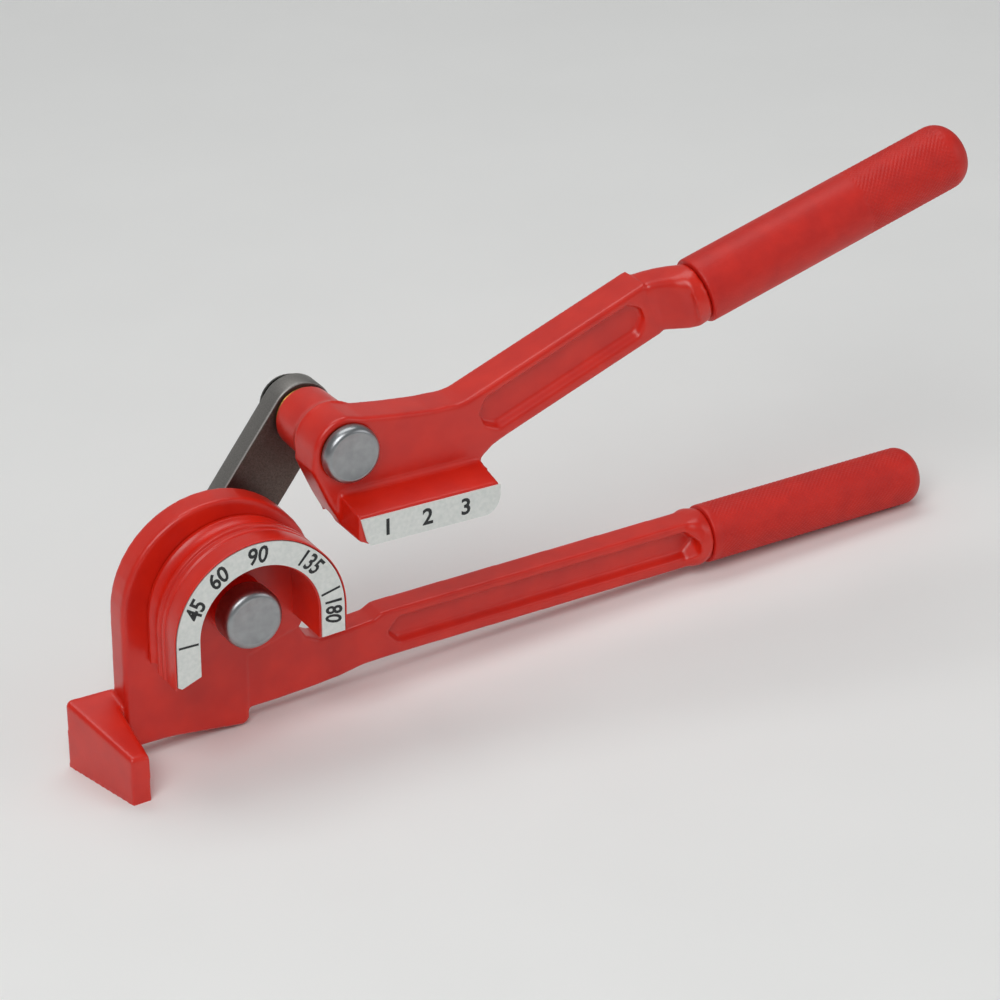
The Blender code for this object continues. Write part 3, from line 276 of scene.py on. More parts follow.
def shaped_by(name, base, steps):
    """Join bmeshes to a base or cut them out of it; returns the mesh in the row frame."""
    target = work_object(name, mesh_from(name, base, Matrix.Identity(4)))
    pieces = []
    for tool, operation in steps:
        piece = work_object("piece", mesh_from("piece", tool, Matrix.Identity(4)))
        step = target.modifiers.new(operation, "BOOLEAN")
        step.operation, step.solver, step.object = operation, "EXACT", piece
        pieces.append(piece)
    shaped = shown_mesh(target)
    for old in [target, *pieces]:
        bpy.data.objects.remove(old, do_unlink=True)
    shaped.transform(TOOL)
    return shaped


print("helpers ready; round pieces get", ROUND_SIDES, "sides")


# %% [markdown]
# ## Materials
# The castings wear a satin red powder coat: a slow drift of colour, and a faint orange peel
# that breaks up the highlights. The grips are a softer red vinyl with a leather grain. The pins
# are turned steel with fine rings round their own axis, and the link is rolled steel.

# %% Red coat, red grip, steel, dark steel, bronze, plate and ink
# Widths and depths of the patterns, in millimetres
COAT_CLOUD, COAT_PEEL, COAT_FINE, COAT_DEPTH = 9.0, 0.9, 0.16, 0.02
VINYL_CLOUD, VINYL_CELL, VINYL_DEPTH = 6.0, 0.55, 0.05
TURNING_PITCH, TURNING_CLOUD, TURNING_DEPTH = 0.12, 2.5, 0.006
MILL_SPECK, MILL_DEPTH = 0.35, 0.015
METAL_SPECK, METAL_DEPTH = 0.5, 0.005
PLATE_CLOUD, PLATE_GRAIN, PLATE_DEPTH = 1.2, 0.3, 0.008
INK_CLOUD = 0.4
# Shares and roughness values
FINE_SHARE = 0.4
COAT_SMOOTH, COAT_DULL = 0.30, 0.44
LACQUER, LACQUER_ROUGH = 0.25, 0.22
TURNED_LESS, TURNED_MORE = 0.06, 0.1
FACE_LIMIT = 0.92
TURNED_HIGH_STOP = 0.75


def red_coat():
    """Powder coat, sprayed and baked: satin, with a thin clear skin over it."""
    mat, tree, shader = new_material("red_powder_coat", "C81A0B", 0.4, 0)
    tint(tree, shader, grain(tree, COAT_CLOUD, 2), "CC1B0A", "DA230D")
    peel = grain(tree, COAT_PEEL, 2)
    fine = grain(tree, COAT_FINE, 2)
    height = math_node(tree, "ADD", peel, math_node(tree, "MULTIPLY", fine, FINE_SHARE))
    tree.links.new(bump(tree, height, COAT_DEPTH), shader.inputs["Normal"])
    rough = node(tree, "ShaderNodeMapRange", {"Value": fine, "To Min": COAT_SMOOTH, "To Max": COAT_DULL})
    tree.links.new(rough.outputs[0], shader.inputs["Roughness"])
    shader.inputs["Coat Weight"].default_value = LACQUER
    shader.inputs["Coat Roughness"].default_value = LACQUER_ROUGH
    return mat


def red_grip():
    """Dipped vinyl: dull, with the small cells of a leather grain."""
    mat, tree, shader = new_material("red_vinyl", "C4160B", 0.5, 0)
    tint(tree, shader, grain(tree, VINYL_CLOUD, 2), "C4180C", "D21F0F")
    coords = node(tree, "ShaderNodeTexCoord").outputs["Object"]
    cells = node(tree, "ShaderNodeTexVoronoi", {"Vector": coords, "Scale": 1 / (VINYL_CELL * MM)},
                 feature="SMOOTH_F1").outputs["Distance"]
    tree.links.new(bump(tree, cells, VINYL_DEPTH), shader.inputs["Normal"])
    return mat


def turned_steel(name, centre, low="9A9C9E", high="A9ABAD", rough=0.32):
    """Steel turned on a lathe: fine rings round an axis along Y at a place in the row frame."""
    mat, tree, shader = new_material(name, low, rough, 1)
    coords = node(tree, "ShaderNodeTexCoord").outputs["Object"]
    away = node(tree, "ShaderNodeVectorMath", {0: coords, 1: tuple(centre)}, operation="SUBTRACT").outputs[0]
    flat = node(tree, "ShaderNodeVectorMath", {0: away, 1: (1, 0, 1)}, operation="MULTIPLY").outputs[0]
    radius = node(tree, "ShaderNodeVectorMath", {0: flat}, operation="LENGTH").outputs["Value"]
    y = node(tree, "ShaderNodeSeparateXYZ", {0: away}).outputs["Y"]
    across = node(tree, "ShaderNodeCombineXYZ", {"X": radius, "Y": y, "Z": 0.0}).outputs[0]
    rings = grain(tree, TURNING_PITCH, 2, across)
    cloud = grain(tree, TURNING_CLOUD, 3)
    colour = ramp(tree, cloud, [(LOW_STOP, low), (TURNED_HIGH_STOP, high)])
    tree.links.new(colour, shader.inputs["Base Color"])
    tree.links.new(bump(tree, rings, TURNING_DEPTH), shader.inputs["Normal"])
    dull = node(tree, "ShaderNodeMapRange",
                {"Value": rings, "To Min": rough - TURNED_LESS, "To Max": rough + TURNED_MORE})
    tree.links.new(dull.outputs[0], shader.inputs["Roughness"])
    return mat


def rolled_steel():
    """The link: dark mill scale on its rolled faces, brighter metal where its sides were cut."""
    mat, tree, shader = new_material("rolled_steel", "5E5752", 0.5, 1)
    normal = node(tree, "ShaderNodeNewGeometry").outputs["True Normal"]
    facing = math_node(tree, "ABSOLUTE", node(tree, "ShaderNodeSeparateXYZ", {0: normal}).outputs["Y"])
    face = math_node(tree, "GREATER_THAN", facing, FACE_LIMIT)
    speck = grain(tree, MILL_SPECK, 4, rough=0.7)
    dark = ramp(tree, speck, [(LOW_STOP, "564E49"), (HIGH_STOP, "746B65")])
    light = ramp(tree, speck, [(LOW_STOP, "8B8885"), (HIGH_STOP, "A5A29E")])
    mixed = node(tree, "ShaderNodeMix", {"Factor": face, "A": light, "B": dark}, data_type="RGBA")
    tree.links.new(mixed.outputs["Result"], shader.inputs["Base Color"])
    tree.links.new(bump(tree, speck, MILL_DEPTH), shader.inputs["Normal"])
    return mat


def plain_metal(name, low, high, rough):
    """A machined metal with a faint speckle, for the small pieces."""
    mat, tree, shader = new_material(name, low, rough, 1)
    speck = grain(tree, METAL_SPECK, 3)
    tint(tree, shader, speck, low, high)
    tree.links.new(bump(tree, speck, METAL_DEPTH), shader.inputs["Normal"])
    return mat


def white_plate():
    """White lacquered plate, a little handled."""
    mat, tree, shader = new_material("white_printed_plate", "DADFDB", 0.42, 0)
    tint(tree, shader, grain(tree, PLATE_CLOUD, 3), "D6DAD6", "E4E6E2")
    tree.links.new(bump(tree, grain(tree, PLATE_GRAIN, 2), PLATE_DEPTH), shader.inputs["Normal"])
    return mat


def black_ink():
    """Printing ink: dull black that covers unevenly."""
    mat, tree, shader = new_material("black_printing_ink", "191A1B", 0.5, 0)
    tint(tree, shader, grain(tree, INK_CLOUD, 3), "151617", "26282A")
    return mat


COAT, GRIP, ROLLED, PLATE, INK = red_coat(), red_grip(), rolled_steel(), white_plate(), black_ink()
MAIN_STEEL = turned_steel("turned_steel_main", MAIN_ROW)
UPPER_STEEL = turned_steel("turned_steel_upper", UPPER_ROW)
BRONZE = plain_metal("bearing_bronze", "A9813F", "BE9750", 0.38)
SPRING = plain_metal("spring_steel", "54534F", "6B6A66", 0.4)
print("made", len(bpy.data.materials), "materials")

# %% [markdown]
# ## Cast handles
# A casting has no sharp edges: the sand or the die leaves small fillets everywhere. The
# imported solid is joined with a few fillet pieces, remeshed into even small faces and smoothed,
# which rounds every edge and every inner corner by about half a millimetre.

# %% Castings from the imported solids
SOLE_BAND = 0.45 * MM
VOXEL = 0.5
SMOOTH_PASSES, SMOOTH_SHARE = 4, 0.5
CAST_SHARP = 80
# (radius, y) of the fillets round the block's boss and round the head's boss
BLOCK_FILLET = ((8.2, 26.6), (14.2, 26.6), (12.9, 27.9), (12.4, 29.4), (8.2, 29.4))
HEAD_FILLET = ((8.1, 18.2), (10.1, 18.2), (9.4, 19.3), (8.9, 21.0), (8.1, 21.0))
# (y, z) of the fillet between shoe and head, and its two ends along x
SHOE_FILLET = ((5.2, 27.4), (7.9, 26.0), (7.9, 30.6), (7.3, 29.6), (6.6, 28.4))
SHOE_FILLET_ENDS = (28.1, 67.9)


def cast(name, node_name, fillers, body):
    """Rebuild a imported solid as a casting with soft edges."""
    tool = bmesh.new()
    tool.from_mesh(frame["nodes"][node_name].data)
    for filler in fillers:
        extra = mesh_from("filler", filler)
        tool.from_mesh(extra)
        bpy.data.meshes.remove(extra)
    mesh = bpy.data.meshes.new(name)
    tool.to_mesh(mesh)
    tool.free()
    work = work_object(name + "_work", mesh)
    remesh = work.modifiers.new("remesh", "REMESH")
    remesh.mode = "VOXEL"
    remesh.voxel_size = VOXEL * MM
    smooth = work.modifiers.new("smooth", "SMOOTH")
    smooth.factor = SMOOTH_SHARE
    smooth.iterations = SMOOTH_PASSES
    shaped = shown_mesh(work)
    bpy.data.objects.remove(work, do_unlink=True)
    shaped.name = name
    # The sole stays flat on the floor
    for vertex in shaped.vertices:
        if vertex.co.z < SOLE_BAND:
            vertex.co.z = 0.0
    return finish_mesh(name, shaped, COAT, body, [node_name], angle=CAST_SHARP)


lower_handle = cast("lower_casting", "lower_handle", [turned(BLOCK_FILLET)], "lower_body")
shoe_fillet = skin([[(x, y, z) for y, z in SHOE_FILLET] for x in SHOE_FILLET_ENDS])
upper_handle = cast("upper_casting", "upper_handle", [shoe_fillet, turned(HEAD_FILLET, UPPER)],
                    "handle_body")

# %% [markdown]
# ## Bending die
# One section is swept round the top and down both legs: a flat land, a fine ring, a raised
# ring, a narrow groove, another ring, and the round groove that the tube is bent into.

# %% Die with its rings and its tube groove
DIE_R, POCKET_R, TUBE_R, GROOVE_FLOOR, GROOVE_Y, DIE_BACK = 25.1, 17.3, 4.05, 22.8, 14.6, 18.6
RIGHT_LEG, LEFT_LEG = (8.2, 7.8), (9.9, 13.0)
SEAT_R, SEAT_DEPTH = 24.75, 0.8
RIM_BREAK = (0.1, 0.15)
# Depth of each groove round the rim, and the four places along y of its edges
RIM_GROOVES = ((0.5, (5.7, 6.05, 6.35, 6.7)), (0.75, (8.2, 8.5, 9.3, 9.6)))
GROOVE_STEPS, SWEEP_STEPS, WEB_STEPS = 16, 96, 64
EDGE_ROUND, EDGE_STEPS = 0.16, 2
WEB_R, WEB_FRONT, WEB_BACK = 17.5, 16.2, 18.3
WEB_LEFT_Z, WEB_RIGHT_Z = -9.6, -7.9
# (radius, y) of the hub, from its front face back into the web
HUB = ((0, 10.8), (6.6, 10.8), (7.15, 10.9), (7.4, 11.3), (7.5, 15.4), (8.3, 16.3), (8.3, 17), (0, 17))
TOE = ((-33.5, -19.3), (-29.5, -9.35), (-19.6, -15.4))
BORE_R, CUT_FRONT, CUT_BACK = 6.15, -4, 24
DIE_SHARP = 40


def leg(radius, inner, outer):
    """How low a leg of the die ends at a radius, between its ends at the pocket and the rim."""
    return -(inner + (outer - inner) * (radius - POCKET_R) / (DIE_R - POCKET_R))


def die_section():
    """(radius, y) points of the die's section, rounded where a cutter would leave an edge."""
    tube = GROOVE_FLOOR + TUBE_R
    opening = math.acos((tube - DIE_R) / TUBE_R)
    points = [(POCKET_R, SEAT_DEPTH), (SEAT_R, SEAT_DEPTH), (SEAT_R, 0), (DIE_R - RIM_BREAK[0], 0),
              (DIE_R, RIM_BREAK[1])]
    for depth, (first, second, third, last) in RIM_GROOVES:
        points += [(DIE_R, first), (DIE_R - depth, second), (DIE_R - depth, third), (DIE_R, last)]
    for i in range(GROOVE_STEPS + 1):
        angle = opening - (opening + math.pi / 4) * i / GROOVE_STEPS
        points.append((tube - TUBE_R * math.cos(angle), GROOVE_Y - TUBE_R * math.sin(angle)))
    points += [(points[-1][0], DIE_BACK), (POCKET_R, DIE_BACK)]
    return rounded(points, EDGE_ROUND, EDGE_STEPS)


def make_die():
    """Sweep the section, then add web and hub and cut the toe and the bore."""
    section = die_section()
    rings = [[(r, y, leg(r, *RIGHT_LEG)) for r, y in section]]
    for i in range(SWEEP_STEPS + 1):
        angle = math.pi * i / SWEEP_STEPS
        rings.append([(r * math.cos(angle), y, r * math.sin(angle)) for r, y in section])
    rings.append([(-r, y, leg(r, *LEFT_LEG)) for r, y in section])
    web = plate(arc(WEB_R, 0, math.pi, WEB_STEPS) + [(-WEB_R, WEB_LEFT_Z), (WEB_R, WEB_RIGHT_Z)],
                WEB_FRONT, WEB_BACK)
    bore = turned([(0, CUT_FRONT), (BORE_R, CUT_FRONT), (BORE_R, CUT_BACK), (0, CUT_BACK)])
    shaped = shaped_by("grooved_die", skin(rings), (
        (web, "UNION"), (turned(HUB), "UNION"), (plate(TOE, CUT_FRONT, CUT_BACK), "DIFFERENCE"),
        (bore, "DIFFERENCE")))
    return finish_mesh("grooved_die", shaped, COAT, "lower_body", ["bending_die"],
                       angle=DIE_SHARP)


die = make_die()

# %% [markdown]
# ## Scales
# Both scales are thin white plates with printed numerals: degrees round the die, and the
# plain marks 1, 2 and 3 on the shoe.

# %% Degree scale, shoe scale and their print
SCALE_OUTER, SCALE_INNER, SCALE_GAP, SCALE_THICK, SCALE_TOE = 24.45, 17.75, 0.3, 0.5, 1.1
SHOE_FRONT = -4.2
# The shoe plate's corners, from the shoe's lower left corner, and its rounded right end
SHOE_DROP, SHOE_LENGTH = 22.7, 39.5
SHOE_LEFT = ((-2.45, 8.15), (-0.8, 1.6), (0.4, 0.15))
SHOE_END, SHOE_END_STEPS, SHOE_IN = (4.8, 6.05), 12, 0.15
SHOE_TOP = 8.15
# Print: how far it stands off, how bold it is, and the font's size for a height
INK_LIFT, BOLD, FONT_SHARE, CURVE_STEPS = 0.03, 0.16, 1.42, 3
DEGREE_HEIGHT, DEGREE_R, DEGREE_SLANT, TWO_WIDE, THREE_WIDE = 4.7, 21.0, 0.1, 0.86, 0.76
SHOE_HEIGHT, SHOE_PRINT_Z = 4.6, 21.9
DEGREE_MARKS = (("45", 27.7), ("60", 55.5), ("90", 88.4), ("135", 133.3), ("180", 181.0))
SHOE_MARKS = (("1", 35.4), ("2", 47.3), ("3", 58.8))
TICK_PLACES, TICK_INNER, TICK_OUTER, TICK_WIDTH = (0.0, 165.7), 18.2, 23.9, 0.65


def scale_outline(outer, inner, gap):
    """Outline (x, z) of the degree plate, with its cut corner at the left."""
    points = [(outer, leg(outer, *RIGHT_LEG) + gap)] + arc(outer, 0, math.pi, ROUND_SIDES)
    points += [(-outer, leg(outer, *LEFT_LEG) + SCALE_TOE + gap),
               (-outer + SCALE_TOE, leg(outer - SCALE_TOE, *LEFT_LEG) + gap),
               (-inner, leg(inner, *LEFT_LEG) + gap)]
    points += list(reversed(arc(inner, 0, math.pi, ROUND_SIDES)))
    points.append((inner, leg(inner, *RIGHT_LEG) + gap))
    return points


def shoe_plate_outline():
    """Outline (x, z) of the shoe plate, with its rounded right end."""
    x, z = UPPER.x, UPPER.z - SHOE_DROP
    points = [(x + across, z + up) for across, up in SHOE_LEFT]
    for i in range(SHOE_END_STEPS + 1):
        angle = math.pi / 2 * i / SHOE_END_STEPS
        points.append((x + SHOE_LENGTH - SHOE_END[0] * (1 - math.sin(angle)) - SHOE_IN * math.sin(angle),
                       z + SHOE_IN + SHOE_END[1] * (1 - math.cos(angle))))
    points.append((x + SHOE_LENGTH - SHOE_IN, z + SHOE_TOP))
    return points


def printed(text, height, y, x=0.0, z=0.0, slant=0.0, wide=1.0, bend=None):
    """Printed numerals on a front face, straight or bent round an arc (radius, angle)."""
    curve = bpy.data.curves.new("print", "FONT")
    curve.body = text
    curve.size = height * FONT_SHARE
    curve.shear = slant
    curve.align_x, curve.align_y = "CENTER", "CENTER"
    curve.resolution_u = CURVE_STEPS
    curve.offset = BOLD
    holder = work_object("print", curve)
    mesh = shown_mesh(holder)
    bpy.data.objects.remove(holder, do_unlink=True)
    for vertex in mesh.vertices:
        across, up = vertex.co.x * wide, vertex.co.y
        if bend is None:
            vertex.co = (x + across, y, z + up)
        else:
            radius, angle = bend
            turned_to = angle - across / radius
            vertex.co = ((radius + up) * math.cos(turned_to), y, (radius + up) * math.sin(turned_to))
    return mesh


def tick(degrees):
    """A printed line across the degree scale, at an angle from its left end."""
    angle = math.pi - math.radians(degrees)
    along = Vector((math.cos(angle), 0, math.sin(angle)))
    side = Vector((-along.z, 0, along.x)) * TICK_WIDTH / 2
    tool = bmesh.new()
    corners = [along * TICK_INNER - side, along * TICK_OUTER - side, along * TICK_OUTER + side,
               along * TICK_INNER + side]
    tool.faces.new([tool.verts.new((p.x, -INK_LIFT, p.z)) for p in corners])
    mesh = bpy.data.meshes.new("tick")
    tool.to_mesh(mesh)
    tool.free()
    return mesh


def ink_object(name, meshes, body):
    """Join printed meshes into one piece whose faces look to the front."""
    tool = bmesh.new()
    for mesh in meshes:
        tool.from_mesh(mesh)
        bpy.data.meshes.remove(mesh)
    bmesh.ops.recalc_face_normals(tool, faces=tool.faces)
    for face in tool.faces:
        if face.normal.y > 0:
            face.normal_flip()
    tool.transform(TOOL)
    made = bpy.data.meshes.new(name)
    tool.to_mesh(made)
    tool.free()
    return finish_mesh(name, made, INK, body)


degree_outline = scale_outline(SCALE_OUTER, SCALE_INNER, SCALE_GAP)
degree_mesh = mesh_from("degree_plate", plate(degree_outline, 0, SCALE_THICK))
degree_plate = finish_mesh("degree_plate", degree_mesh, PLATE, "lower_body", ["degree_scale"])
shoe_mesh = mesh_from("shoe_plate", plate(shoe_plate_outline(), SHOE_FRONT, SHOE_FRONT + SCALE_THICK))
shoe_plate = finish_mesh("shoe_plate", shoe_mesh, PLATE, "handle_body", ["shoe_scale"])
marks = [printed(text, DEGREE_HEIGHT, -INK_LIFT, slant=DEGREE_SLANT,
                 wide=TWO_WIDE if len(text) < 3 else THREE_WIDE,
                 bend=(DEGREE_R, math.pi - math.radians(degrees))) for text, degrees in DEGREE_MARKS]
marks += [tick(degrees) for degrees in TICK_PLACES]
degree_print = ink_object("degree_print", marks, "lower_body")
shoe_print = ink_object("shoe_print", [printed(text, SHOE_HEIGHT, SHOE_FRONT - INK_LIFT, x, SHOE_PRINT_Z)
                                       for text, x in SHOE_MARKS], "handle_body")

# %% [markdown]
# ## Grips
# The grip's smooth form carries two numbers on each point: how far along it lies, and how far
# round. A Geometry Nodes tree turns these into the two crossing families of grooves of a
# diamond knurl, and pushes the points in by that much. Its inputs are real sizes.

# %% Knurling tree
CREST_BLEND = 0.12
CREST_GAIN, CREST_CUT = 1.5, 0.5
LIFT_PHASE = 1000.0


def knurl_tree():
    """Geometry Nodes tree that sinks crossing grooves into a skin; its inputs are real sizes."""
    group = bpy.data.node_groups.new("diamond_knurl", "GeometryNodeTree")
    sockets = group.interface
    sockets.new_socket("Geometry", in_out="INPUT", socket_type="NodeSocketGeometry")
    for name in ("Grooves Around", "Pitch", "Depth", "Start", "End", "Fade"):
        sockets.new_socket(name, in_out="INPUT", socket_type="NodeSocketFloat")
    sockets.new_socket("Material", in_out="INPUT", socket_type="NodeSocketMaterial")
    sockets.new_socket("Geometry", in_out="OUTPUT", socket_type="NodeSocketGeometry")
    inp = node(group, "NodeGroupInput").outputs
    out = node(group, "NodeGroupOutput")

    def named(attribute):
        return node(group, "GeometryNodeInputNamedAttribute", {"Name": attribute}, data_type="FLOAT"
                    ).outputs["Attribute"]

    def calc(operation, a, b=0.0, c=0.0):
        return node(group, "ShaderNodeMath", {0: a, 1: b, 2: c}, operation=operation).outputs[0]

    around = calc("MULTIPLY", named("around"), inp["Grooves Around"])
    along = calc("DIVIDE", named("along"), inp["Pitch"])
    crests = []
    for operation in ("ADD", "SUBTRACT"):
        phase = calc("FRACT", calc("ADD", calc(operation, around, along), LIFT_PHASE))
        crests.append(calc("MULTIPLY", calc("ABSOLUTE", calc("SUBTRACT", phase, 0.5)), 2.0))
    groove = calc("SMOOTH_MAX", crests[0], crests[1], CREST_BLEND)
    sunk = calc("MAXIMUM", calc("SUBTRACT", calc("MULTIPLY", groove, CREST_GAIN), CREST_CUT), 0.0)
    rise_in = calc("DIVIDE", calc("SUBTRACT", named("along"), inp["Start"]), inp["Fade"])
    rise_out = calc("DIVIDE", calc("SUBTRACT", inp["End"], named("along")), inp["Fade"])
    mask = calc("MINIMUM", calc("MAXIMUM", calc("MINIMUM", rise_in, rise_out), 0.0), 1.0)
    push = calc("MULTIPLY", calc("MULTIPLY", sunk, mask), calc("MULTIPLY", inp["Depth"], -1.0))
    normal = node(group, "GeometryNodeInputNormal").outputs[0]
    offset = node(group, "ShaderNodeVectorMath", {0: normal, "Scale": push}, operation="SCALE").outputs[0]
    moved = node(group, "GeometryNodeSetPosition", {"Geometry": inp["Geometry"], "Offset": offset}
                 ).outputs[0]
    real = node(group, "GeometryNodeRealizeInstances", {0: moved}).outputs[0]
    done = node(group, "GeometryNodeSetMaterial", {"Geometry": real, "Material": inp["Material"]}).outputs[0]
    group.links.new(done, out.inputs[0])
    return group


KNURL = knurl_tree()
print("knurl tree has", len(KNURL.nodes), "nodes")


# %% [markdown]
# ## Grip forms
# Each grip is a sleeve turned round its tang: an open bore, a small lip at the arm, a straight
# body and a rounded end. The lower grip is knurled nearly all along, the upper one near its end.

# %% Grip forms along each tang
KNURL_PITCH, KNURL_DEPTH, KNURL_FADE, KNURL_MARGIN = 1.4, 0.22, 1.2, 2
STEPS_A_PITCH = 6
PLAIN_STEPS, END_STEPS, LEAST_R = 3, 16, 0.3
BORE_END, GRIP_BORE, GRIP_GAP = 57.2, 5.6, 0.3
# How far along the grip the lip's points lie, and how far under its radius
GRIP_LIP = ((0.3, 0.35), (0.4, 0.18), (0.65, 0.05), (1.2, 0))
GRIP_SHARP = 60
ARM_TILT, ARM_DROP, ARM_REACH, LOWER_GRIP_Y = math.radians(1.18), -25.6, 150.7, 23.6
UPPER_TILT, UPPER_GRIP_PLACE, UPPER_GRIP_Y = math.radians(16.06), (104.6, 23.3), 4.5


def grip(name, node_name, body, start, tilt, radius, length, end_round, knurl_from, knurl_to):
    """A grip turned about its own axis, then knurled by the tree."""
    step = KNURL_PITCH / STEPS_A_PITCH
    stations = [(BORE_END, GRIP_BORE), (GRIP_GAP, GRIP_BORE)]
    stations += [(u, radius - under) for u, under in GRIP_LIP]
    u = stations[-1][0]
    straight = length + GRIP_GAP - end_round
    while u + step < straight:
        near = knurl_from - KNURL_MARGIN < u < knurl_to + KNURL_MARGIN
        u += step if near else step * PLAIN_STEPS
        stations.append((min(u, straight), radius))
    for i in range(1, END_STEPS + 1):
        a = math.pi / 2 * i / END_STEPS
        stations.append((straight + end_round * math.sin(a),
                         max(radius - end_round + end_round * math.cos(a), LEAST_R)))
    sides = int(round(FULL * radius / step / 8)) * 8
    direction = Vector((math.cos(tilt), 0, math.sin(tilt)))
    up = Vector((-math.sin(tilt), 0, math.cos(tilt)))
    side = Vector((0, 1, 0))
    rings, marks_along, marks_around = [], [], []
    for u, r in stations:
        centre = Vector(start) + direction * u
        rings.append([centre + (up * math.cos(FULL * i / sides) + side * math.sin(FULL * i / sides)) * r
                      for i in range(sides)])
        marks_along += [u * MM] * sides
        marks_around += [i / sides for i in range(sides)]
    mesh = mesh_from(name, skin(rings))
    for attribute, values in (("along", marks_along), ("around", marks_around)):
        mesh.attributes.new(attribute, "FLOAT", "POINT").data.foreach_set("value", values)
    work = work_object(name + "_work", mesh)
    mod = work.modifiers.new("knurl", "NODES")
    mod.node_group = KNURL
    values = {"Grooves Around": float(round(FULL * radius / KNURL_PITCH)), "Pitch": KNURL_PITCH * MM,
              "Depth": KNURL_DEPTH * MM, "Start": knurl_from * MM, "End": knurl_to * MM,
              "Fade": KNURL_FADE * MM, "Material": GRIP}
    for item in KNURL.interface.items_tree:
        if item.in_out == "INPUT" and item.name in values:
            mod[item.identifier] = values[item.name]
    shaped = shown_mesh(work)
    bpy.data.objects.remove(work, do_unlink=True)
    shaped.name = name
    return finish_mesh(name, shaped, GRIP, body, [node_name], angle=GRIP_SHARP)


lower_start = Vector((ARM_REACH * math.cos(ARM_TILT), LOWER_GRIP_Y,
                      ARM_DROP + ARM_REACH * math.sin(ARM_TILT)))
lower_grip = grip("lower_vinyl_grip", "lower_grip", "lower_body", lower_start, ARM_TILT, radius=8.4,
                  length=72.5, end_round=5.2, knurl_from=1.8, knurl_to=68.5)
upper_start = Vector((UPPER.x + UPPER_GRIP_PLACE[0], UPPER_GRIP_Y, UPPER.z + UPPER_GRIP_PLACE[1]))
upper_grip = grip("upper_vinyl_grip", "upper_grip", "handle_body", upper_start, UPPER_TILT, radius=9.35,
                  length=88.0, end_round=6.8, knurl_from=52.0, knurl_to=82.5)

# %% [markdown]
# ## Pins
# Each pin's head is faced flat in front, with a rounded rim round the face, as in the photo. At
# the back the shank has a groove for its retaining ring.

# %% Pins and their heads
FACE_R, RIM_DEPTH, RIM_STEPS = 6.6, 2.2, 10
# How far inside the face's edge its two steps lie, and how deep they are
FACE_STEPS = ((0.5, 0.14), (0.3, 0.06))
HEAD_FRONT, HEAD_BACK_BREAK = 3.4, 0.3
SHANK_R, SHANK_GROOVE_R, SHANK_END_R = 6, 5.1, 5.4
RING_FROM, RING_TO, SHANK_BREAK, SHANK_END = 42.4, 43.8, 44.4, 45.0
PIN_SHARP = 28


def pin(name, node_name, body, centre, back, head, mat):
    """A pin turned about its axis: a head from its front to back, and the shank behind it."""
    front = HEAD_FRONT
    rim = [(FACE_R + (head - FACE_R) * math.sin(a), front + RIM_DEPTH * (1 - math.cos(a)))
           for a in [math.pi / 2 * i / RIM_STEPS for i in range(RIM_STEPS + 1)]]
    face = [(0, front + FACE_STEPS[0][1])] + [(FACE_R - inside, front + deep) for inside, deep in FACE_STEPS]
    profile = [*face, *rim, (head, back - HEAD_BACK_BREAK), (head - HEAD_BACK_BREAK, back), (SHANK_R, back),
               (SHANK_R, RING_FROM), (SHANK_GROOVE_R, RING_FROM), (SHANK_GROOVE_R, RING_TO),
               (SHANK_R, RING_TO), (SHANK_R, SHANK_BREAK), (SHANK_END_R, SHANK_END), (0, SHANK_END)]
    return finish_mesh(name, mesh_from(name, turned(profile, centre)), mat, body, [node_name],
                       angle=PIN_SHARP)


main_pin = pin("main_pin_turned", "main_pin", "lower_body", MAIN, 10.5, 8.5, MAIN_STEEL)
upper_pin = pin("upper_pin_turned", "upper_pin", "link_body", UPPER, 6.9, 8.1, UPPER_STEEL)

# %% [markdown]
# ## Link
# A strap with two round ends on the two axes. Its long edges are chamfered, so they catch the
# light between the dark rolled face and the brighter cut side.

# %% Link strap
LINK_R, LINK_FRONT, LINK_BACK, LINK_STEPS = 9.1, 33.2, 40.2, 48
LINK_CHAMFER, LINK_CHAMFER_STEPS, LINK_CHAMFER_ANGLE = 0.7, 3, 60
HOLE_R, HOLE_FRONT, HOLE_BACK = 7.5, 30, 44
LINK_SHARP = 30


def drilled_link():
    """The strap with a hole at each axis."""
    quarter = math.pi / 2
    outline = (arc(LINK_R, LINK_ANGLE - quarter, LINK_ANGLE + quarter, LINK_STEPS, (UPPER.x, UPPER.z))
               + arc(LINK_R, LINK_ANGLE + quarter, LINK_ANGLE + math.pi * 1.5, LINK_STEPS))
    strap = bevelled(plate(outline, LINK_FRONT, LINK_BACK), LINK_CHAMFER, LINK_CHAMFER_STEPS,
                     LINK_CHAMFER_ANGLE)
    holes = [turned([(0, HOLE_FRONT), (HOLE_R, HOLE_FRONT), (HOLE_R, HOLE_BACK), (0, HOLE_BACK)], centre)
             for centre in (MAIN, UPPER)]
    shaped = shaped_by("link_strap", strap, [(hole, "DIFFERENCE") for hole in holes])
    return finish_mesh("link_strap", shaped, ROLLED, "link_body", ["link_plate"],
                       angle=LINK_SHARP)


link = drilled_link()

# %% [markdown]
# ## Inner pieces
# The bushes, washers, rings, screws and dowels keep their packed form and get a metal of
# their own.

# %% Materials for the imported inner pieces
for name, packed in frame["nodes"].items():
    if packed.hide_render:
        continue
    if "bush" in name or "thrust" in name:
        finish = BRONZE
    elif "wave" in name or "ring" in name:
        finish = SPRING
    else:
        finish = UPPER_STEEL if name.startswith("upper") else MAIN_STEEL
    packed.data.materials.clear()
    packed.data.materials.append(finish)
    print("packed piece", name, "wears", finish.name)
